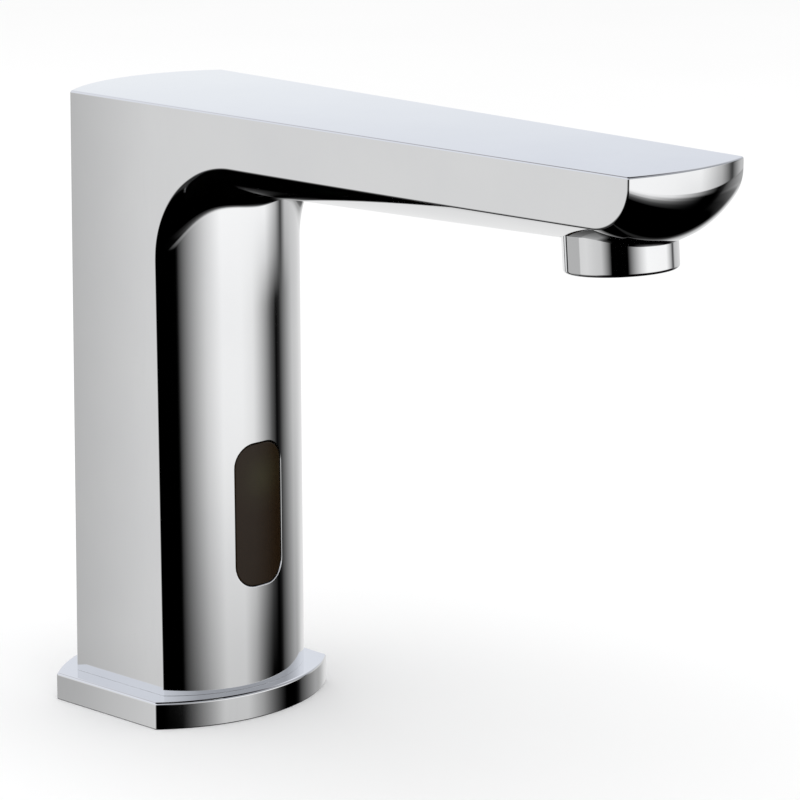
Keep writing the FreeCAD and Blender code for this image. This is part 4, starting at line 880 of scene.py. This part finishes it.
def math_node(tree, operation, *values):
    node = tree.nodes.new("ShaderNodeMath")
    node.operation = operation
    for place, value in enumerate(values):
        if isinstance(value, (int, float)):
            node.inputs[place].default_value = value
        else:
            tree.links.new(value, node.inputs[place])
    return node.outputs["Value"]


def noise(tree, vector, scale, detail=3.0, rough=0.5, stretch=None):
    if stretch:
        mapping = tree.nodes.new("ShaderNodeMapping")
        mapping.inputs["Scale"].default_value = stretch
        tree.links.new(vector, mapping.inputs["Vector"])
        vector = mapping.outputs["Vector"]
    node = tree.nodes.new("ShaderNodeTexNoise")
    node.inputs["Scale"].default_value = scale
    node.inputs["Detail"].default_value = detail
    node.inputs["Roughness"].default_value = rough
    tree.links.new(vector, node.inputs["Vector"])
    return node.outputs["Fac"]


def ramp(tree, value, stops):
    node = tree.nodes.new("ShaderNodeValToRGB")
    elements = node.color_ramp.elements
    while len(elements) > 1:
        elements.remove(elements[-1])
    elements[0].position = stops[0][0]
    elements[0].color = shade(stops[0][1])
    for position, tone in stops[1:]:
        elements.new(position).color = shade(tone)
    tree.links.new(value, node.inputs["Fac"])
    return node.outputs["Color"]


def shade(tone):
    if isinstance(tone, (int, float)):
        return (tone, tone, tone, 1.0)
    return tuple(tone) + (1.0,)


def bump(tree, shader, height, strength, distance):
    node = tree.nodes.new("ShaderNodeBump")
    node.inputs["Strength"].default_value = strength
    node.inputs["Distance"].default_value = distance
    tree.links.new(height, node.inputs["Height"])
    tree.links.new(node.outputs["Normal"], shader.inputs["Normal"])


def chrome_material():
    """Mirror plate: faint clouding in its gloss and very fine polishing marks."""
    material, tree, shader = new_material("chrome_plate")
    shader.inputs["Metallic"].default_value = 1.0
    space = object_space(tree)
    cloud = noise(tree, space, 38.0, 4.0, 0.55)
    tint = ramp(tree, cloud, [(0.3, (0.845, 0.85, 0.86)), (0.7, (0.875, 0.88, 0.885))])
    tree.links.new(tint, shader.inputs["Base Color"])
    marks = noise(tree, space, 900.0, 2.0, 0.6, (1.0, 1.0, 0.12))
    both = math_node(tree, "MULTIPLY", cloud, marks)
    gloss = ramp(tree, both, [(0.1, 0.02), (0.5, 0.06)])
    tree.links.new(gloss, shader.inputs["Roughness"])
    return material


EYE = (0.0245, 0.0005, 0.0605)      # middle of the warm patch, in metres


def window_material():
    """Smoked infrared window: dark brown, with a faint warm patch over the upper eye."""
    material, tree, shader = new_material("smoked_window")
    space = object_space(tree)
    cloud = noise(tree, space, 60.0, 3.0)
    distance = tree.nodes.new("ShaderNodeVectorMath")
    distance.operation = "DISTANCE"
    distance.inputs[1].default_value = EYE
    tree.links.new(space, distance.inputs[0])
    spread = math_node(tree, "MULTIPLY_ADD", cloud, 0.004, distance.outputs["Value"])
    tint = ramp(tree, spread, [
        (0.0, (0.034, 0.030, 0.012)), (0.0055, (0.024, 0.018, 0.008)),
        (0.0095, (0.017, 0.0095, 0.0042))])
    tree.links.new(tint, shader.inputs["Base Color"])
    gloss = ramp(tree, noise(tree, space, 420.0, 3.0), [(0.3, 0.07), (0.7, 0.13)])
    tree.links.new(gloss, shader.inputs["Roughness"])
    shader.inputs["Specular IOR Level"].default_value = 0.22
    bump(tree, shader, noise(tree, space, 160.0, 2.0), 0.05, 0.0002)
    return material


def plain_material(name, low, high, rough, scale=120.0, metallic=0.0, grain=0.15, stretch=None,
                   depth=0.0001):
    """Two close tones, a roughness range and a fine grain."""
    material, tree, shader = new_material(name)
    shader.inputs["Metallic"].default_value = metallic
    space = object_space(tree)
    cloud = noise(tree, space, scale, 4.0, 0.55, stretch)
    tree.links.new(ramp(tree, cloud, [(0.3, low), (0.7, high)]), shader.inputs["Base Color"])
    fine = noise(tree, space, scale * 12, 3.0, 0.6, stretch)
    tree.links.new(ramp(tree, fine, [(0.3, rough[0]), (0.7, rough[1])]),
                   shader.inputs["Roughness"])
    bump(tree, shader, fine, grain, depth)
    return material


def make_materials():
    made = {"chrome": chrome_material(), "smoked_window": window_material()}
    plain = {
        "seal_rubber": ((0.018, 0.018, 0.019), (0.03, 0.03, 0.032), (0.5, 0.75)),
        "black_plastic": ((0.02, 0.02, 0.022), (0.032, 0.032, 0.034), (0.4, 0.55)),
        "circuit_board": ((0.012, 0.10, 0.04), (0.02, 0.16, 0.07), (0.3, 0.45)),
        "clear_lens": ((0.45, 0.5, 0.58), (0.6, 0.64, 0.7), (0.06, 0.12)),
        "dark_lens": ((0.015, 0.015, 0.025), (0.025, 0.025, 0.04), (0.06, 0.12)),
        "cable_sheath": ((0.022, 0.022, 0.024), (0.035, 0.035, 0.037), (0.4, 0.55)),
        "white_plastic": ((0.66, 0.66, 0.63), (0.76, 0.76, 0.73), (0.3, 0.45)),
        "tube_plastic": ((0.6, 0.62, 0.63), (0.7, 0.72, 0.73), (0.25, 0.4)),
        "valve_plastic": ((0.10, 0.105, 0.11), (0.14, 0.145, 0.15), (0.4, 0.55)),
    }
    for name, (low, high, rough) in plain.items():
        made[name] = plain_material(name, low, high, rough)
    metals = {
        "stainless": ((0.55, 0.56, 0.57), (0.64, 0.65, 0.66), (0.2, 0.34)),
        "spring_steel": ((0.42, 0.42, 0.44), (0.52, 0.52, 0.54), (0.22, 0.36)),
        "bare_brass": ((0.58, 0.43, 0.19), (0.70, 0.53, 0.26), (0.2, 0.36)),
        "copper_wire": ((0.50, 0.2, 0.09), (0.62, 0.28, 0.13), (0.25, 0.4)),
        "plated_steel": ((0.5, 0.5, 0.48), (0.6, 0.6, 0.57), (0.28, 0.42)),
    }
    for name, (low, high, rough) in metals.items():
        made[name] = plain_material(name, low, high, rough, 150.0, 1.0, 0.1, (1.0, 1.0, 4.0))
    return made


# -------------------------------- studio and camera

FOCAL_PIXELS = 3780.8
CAMERA_TURN = math.radians(44.92)
CAMERA_PITCH = math.radians(13.388)
CAMERA_ROLL = math.radians(0.103)
CAMERA_SHIFT = (-52.656, 1.821)
CAMERA_DISTANCE = 947.155
PICTURE = 800
SENSOR_WIDTH = 36.0
CLIP_START = 0.01


def add_camera():
    turn, pitch = CAMERA_TURN, CAMERA_PITCH
    back = Vector((math.sin(turn) * math.cos(pitch), -math.cos(turn) * math.cos(pitch),
                   math.sin(pitch)))
    right = Vector((math.cos(turn), math.sin(turn), 0.0))
    up = back.cross(right)
    cosine, sine = math.cos(CAMERA_ROLL), math.sin(CAMERA_ROLL)
    rolled_right = right * cosine + up * sine
    rolled_up = up * cosine - right * sine
    place = Vector((0, 0, HEIGHT / 2)) + back * CAMERA_DISTANCE \
        - rolled_right * CAMERA_SHIFT[0] - rolled_up * CAMERA_SHIFT[1]
    data = bpy.data.cameras.new("camera")
    data.sensor_width = SENSOR_WIDTH
    data.lens = FOCAL_PIXELS / PICTURE * data.sensor_width
    data.clip_start = CLIP_START
    camera = bpy.data.objects.new("camera", data)
    bpy.context.scene.collection.objects.link(camera)
    camera.matrix_world = Matrix([
        (rolled_right[axis], rolled_up[axis], back[axis], place[axis] * MM) for axis in range(3)
    ] + [(0.0, 0.0, 0.0, 1.0)])
    bpy.context.scene.camera = camera


# Studio seen in the chrome, as soft panels: brightness by compass bearing in degrees from +X, or
# by height in degrees. The edges and levels were read off the photograph's tones.
BEARINGS = [
    (-180, 0.50), (-136.4, 0.50),                           # wall behind on the left
    (-134.9, 0.75), (-118, 0.78), (-86, 0.62), (-66, 0.0),  # panel beside the flat side
    (-34, 0.0), (-9, 0.74), (5, 1.02), (24, 1.02), (36, 0.90), (58, 0.12), (65, 0.0),  # softbox
    (70, 0.02), (94, 0.62), (140, 0.90),                    # panel on the far side
]
# a little higher the softbox reaches further round, as the tip reflects it
TIP_BEARINGS = [stop for stop in BEARINGS if stop[0] < 0] + [
    (5, 1.07), (52, 1.04), (66, 0.52), (74, 0.02), (82, 0.59), (140, 0.90)]
# how the studio darkens downwards: sharply in front of the tap, slowly beside and behind it
FRONT_FALL = [
    (-31, 0.0), (-25, 0.06), (-20, 0.26), (-18.2, 0.62), (-16.65, 0.62), (-13, 0.95), (-9, 1.0)]
# beside it, with the dark line of the panel's lower edge
SIDE_FALL = [
    (-45, 0.05), (-32, 0.35), (-25, 0.60), (-17.6, 0.94), (-17.5, 0.72), (-17.15, 0.70),
    (-17.03, 0.95), (-13.4, 0.98)]
# and behind it, with the bearings at which front and back take over
BACK_FALL = [(-60, 0.0), (-50, 0.5), (-40, 0.9), (-13.4, 1.0)]
FRONT_SHARE = [(-100, 0.0), (-85, 1.0), (100, 1.0), (112, 0.0)]
BACK_SHARE = [(105, 0.0), (118, 1.0), (155, 1.0), (168, 0.0)]
# in front the dark panels also close in downwards, first right of the lobe and then left of it
RIGHT_CLOSING = [(24, 1.0), (57, 0.0), (65, 0.0), (73, 1.0)]
RIGHT_SWITCH = [(-16.65, 1.0), (-14.6, 0.0)]
LEFT_CLOSING = [(-100, 1.0), (-62, 0.0), (-22, 0.02), (7, 1.0)]
LEFT_SWITCH = [(-17.6, 1.0), (-17.2, 0.35), (-15.6, 0.12), (-14.4, 0.0)]
# height at which the tip's bearings take over
TIP_SWITCH = [(-10.8, 0.0), (-10.4, 1.0)]
# pale ceiling, dimmer in front, and the height at which it starts
OVERHEAD = [(0, (0.90, 0.93, 0.97)), (8.6, (0.90, 0.93, 0.97)), (9.7, (0.74, 0.77, 0.84)),
            (40, (0.84, 0.86, 0.92)), (48, (0.4, 0.4, 0.44)), (56, (0.0, 0.0, 0.0))]
OVERHEAD_SHARE = [(-60, 1.0), (-20, 0.5), (75, 0.5), (110, 1.0)]
OVERHEAD_SWITCH = [(6.0, 0.0), (8.5, 1.0)]
ROOM_LIGHT = (0.95, 0.95, 0.95, 1.0)    # on everything that isn't a mirror
BACKDROP = (1.0, 1.0, 1.0, 1.0)         # seen by the camera
FLOOR_REACH = 4.0                       # these in metres, and the power in watts
LAMP_PLACE, LAMP_TARGET = (0.1, -0.2, 1.6), (0.05, 0, 0)
LAMP_SIZE = (1.6, 1.6)
LAMP_POWER = 7.0


def mix_colour(tree, share, first, second, mode="MIX"):
    node = tree.nodes.new("ShaderNodeMix")
    node.data_type = "RGBA"
    node.blend_type = mode
    if isinstance(share, (int, float)):
        node.inputs[0].default_value = share
    else:
        tree.links.new(share, node.inputs[0])
    for socket, value in ((6, first), (7, second)):
        if isinstance(value, tuple):
            node.inputs[socket].default_value = value
        else:
            tree.links.new(value, node.inputs[socket])
    return node.outputs[2]


def add_world():
    world = bpy.data.worlds.new("studio")
    bpy.context.scene.world = world
    world.use_nodes = True
    tree = world.node_tree
    tree.nodes.clear()
    space = tree.nodes.new("ShaderNodeTexCoord").outputs["Generated"]
    parts = tree.nodes.new("ShaderNodeSeparateXYZ")
    tree.links.new(space, parts.inputs[0])
    bearing = math_node(tree, "ARCTAN2", parts.outputs["Y"], parts.outputs["X"])
    bearing = math_node(tree, "MULTIPLY_ADD", bearing, 1 / (2 * math.pi), 0.5)
    raised = math_node(tree, "ARCSINE", parts.outputs["Z"])
    raised = math_node(tree, "MULTIPLY_ADD", raised, 1 / math.pi, 0.5)

    def by_bearing(stops):
        return ramp(tree, bearing, [((angle + 180) / 360, tone) for angle, tone in stops])

    def by_height(stops):
        return ramp(tree, raised, [((angle + 90) / 180, tone) for angle, tone in stops])

    round_about = mix_colour(tree, by_height(TIP_SWITCH), by_bearing(BEARINGS),
                             by_bearing(TIP_BEARINGS))
    for stops, closing in ((RIGHT_SWITCH, RIGHT_CLOSING), (LEFT_SWITCH, LEFT_CLOSING)):
        closed = mix_colour(tree, 1.0, round_about, by_bearing(closing), "MULTIPLY")
        round_about = mix_colour(tree, by_height(stops), round_about, closed)
    beside = mix_colour(tree, by_bearing(BACK_SHARE), by_height(SIDE_FALL), by_height(BACK_FALL))
    fall = mix_colour(tree, by_bearing(FRONT_SHARE), beside, by_height(FRONT_FALL))
    above = mix_colour(tree, 1.0, by_height(OVERHEAD), by_bearing(OVERHEAD_SHARE), "MULTIPLY")
    low = mix_colour(tree, 1.0, round_about, fall, "MULTIPLY")
    seen = mix_colour(tree, by_height(OVERHEAD_SWITCH), low, above)
    path = tree.nodes.new("ShaderNodeLightPath")
    plain = mix_colour(tree, path.outputs["Is Camera Ray"], ROOM_LIGHT, BACKDROP)
    colour = mix_colour(tree, path.outputs["Is Glossy Ray"], plain, seen)
    background = tree.nodes.new("ShaderNodeBackground")
    tree.links.new(colour, background.inputs["Color"])
    out = tree.nodes.new("ShaderNodeOutputWorld")
    tree.links.new(background.outputs[0], out.inputs["Surface"])


def add_floor():
    mesh = bpy.data.meshes.new("floor")
    corners = [(x * FLOOR_REACH, y * FLOOR_REACH, 0)
               for x, y in ((-1, -1), (1, -1), (1, 1), (-1, 1))]
    mesh.from_pydata(corners, [], [(0, 1, 2, 3)])
    floor = bpy.data.objects.new("floor", mesh)
    bpy.context.scene.collection.objects.link(floor)
    material, tree, shader = new_material("pale_floor")
    space = object_space(tree)
    tint = ramp(tree, noise(tree, space, 3.0), [(0.3, 0.93), (0.7, 0.95)])
    tree.links.new(tint, shader.inputs["Base Color"])
    shader.inputs["Roughness"].default_value = 0.9
    shader.inputs["Specular IOR Level"].default_value = 0.0
    material_of(floor, material)
    floor.visible_glossy = False


def add_light(name, place, target, size, power):
    data = bpy.data.lights.new(name, "AREA")
    data.shape = "RECTANGLE"
    data.size, data.size_y = size
    data.energy = power
    light = bpy.data.objects.new(name, data)
    bpy.context.scene.collection.objects.link(light)
    light.location = place
    light.rotation_euler = (Vector(target) - Vector(place)).to_track_quat("-Z", "Y").to_euler()
    light.visible_glossy = False


# -------------------------------- dress the model

add_camera()
add_world()
add_floor()
add_light("overhead", LAMP_PLACE, LAMP_TARGET, LAMP_SIZE, LAMP_POWER)
MATERIALS = make_materials()
slots = {item["node"]: item["material_slot"] for item in frame["record"]["subparts"]}
for name, item in frame["nodes"].items():
    for place in item.material_slots:
        place.material = MATERIALS[slots[name]]

for name, skin, slot, node in (("body_skin", body_skin(), "chrome", "body_casting"),
                               ("flange_skin", flange_skin(), "chrome", "base_flange"),
                               ("collar_skin", collar_skin(), "chrome", "aerator_collar"),
                               ("window_lens", window_skin(), "smoked_window", "sensor_window")):
    link_piece(name, skin.mesh(name), slot, node)

# the two springs, which shorten as their pieces lift, are copied unchanged: joint, seat on the
# body, free and pressed length
SPRINGS = {
    "check_spring": ("check_lift", (-11.0, 0.0, 28.4), 12.92, 10.40),
    "plunger_spring": ("plunger_lift", (-3.0, 0.0, 116.8), 10.03, 8.41),
}
for name, (joint, seat, free, pressed) in SPRINGS.items():
    item = frame["nodes"][name]
    spring = link_piece(name + "_coil", item.data.copy(), slots[name], name)
    spring.matrix_world = item.matrix_world
    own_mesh(spring)

bpy.context.scene.view_settings.view_transform = "Standard"
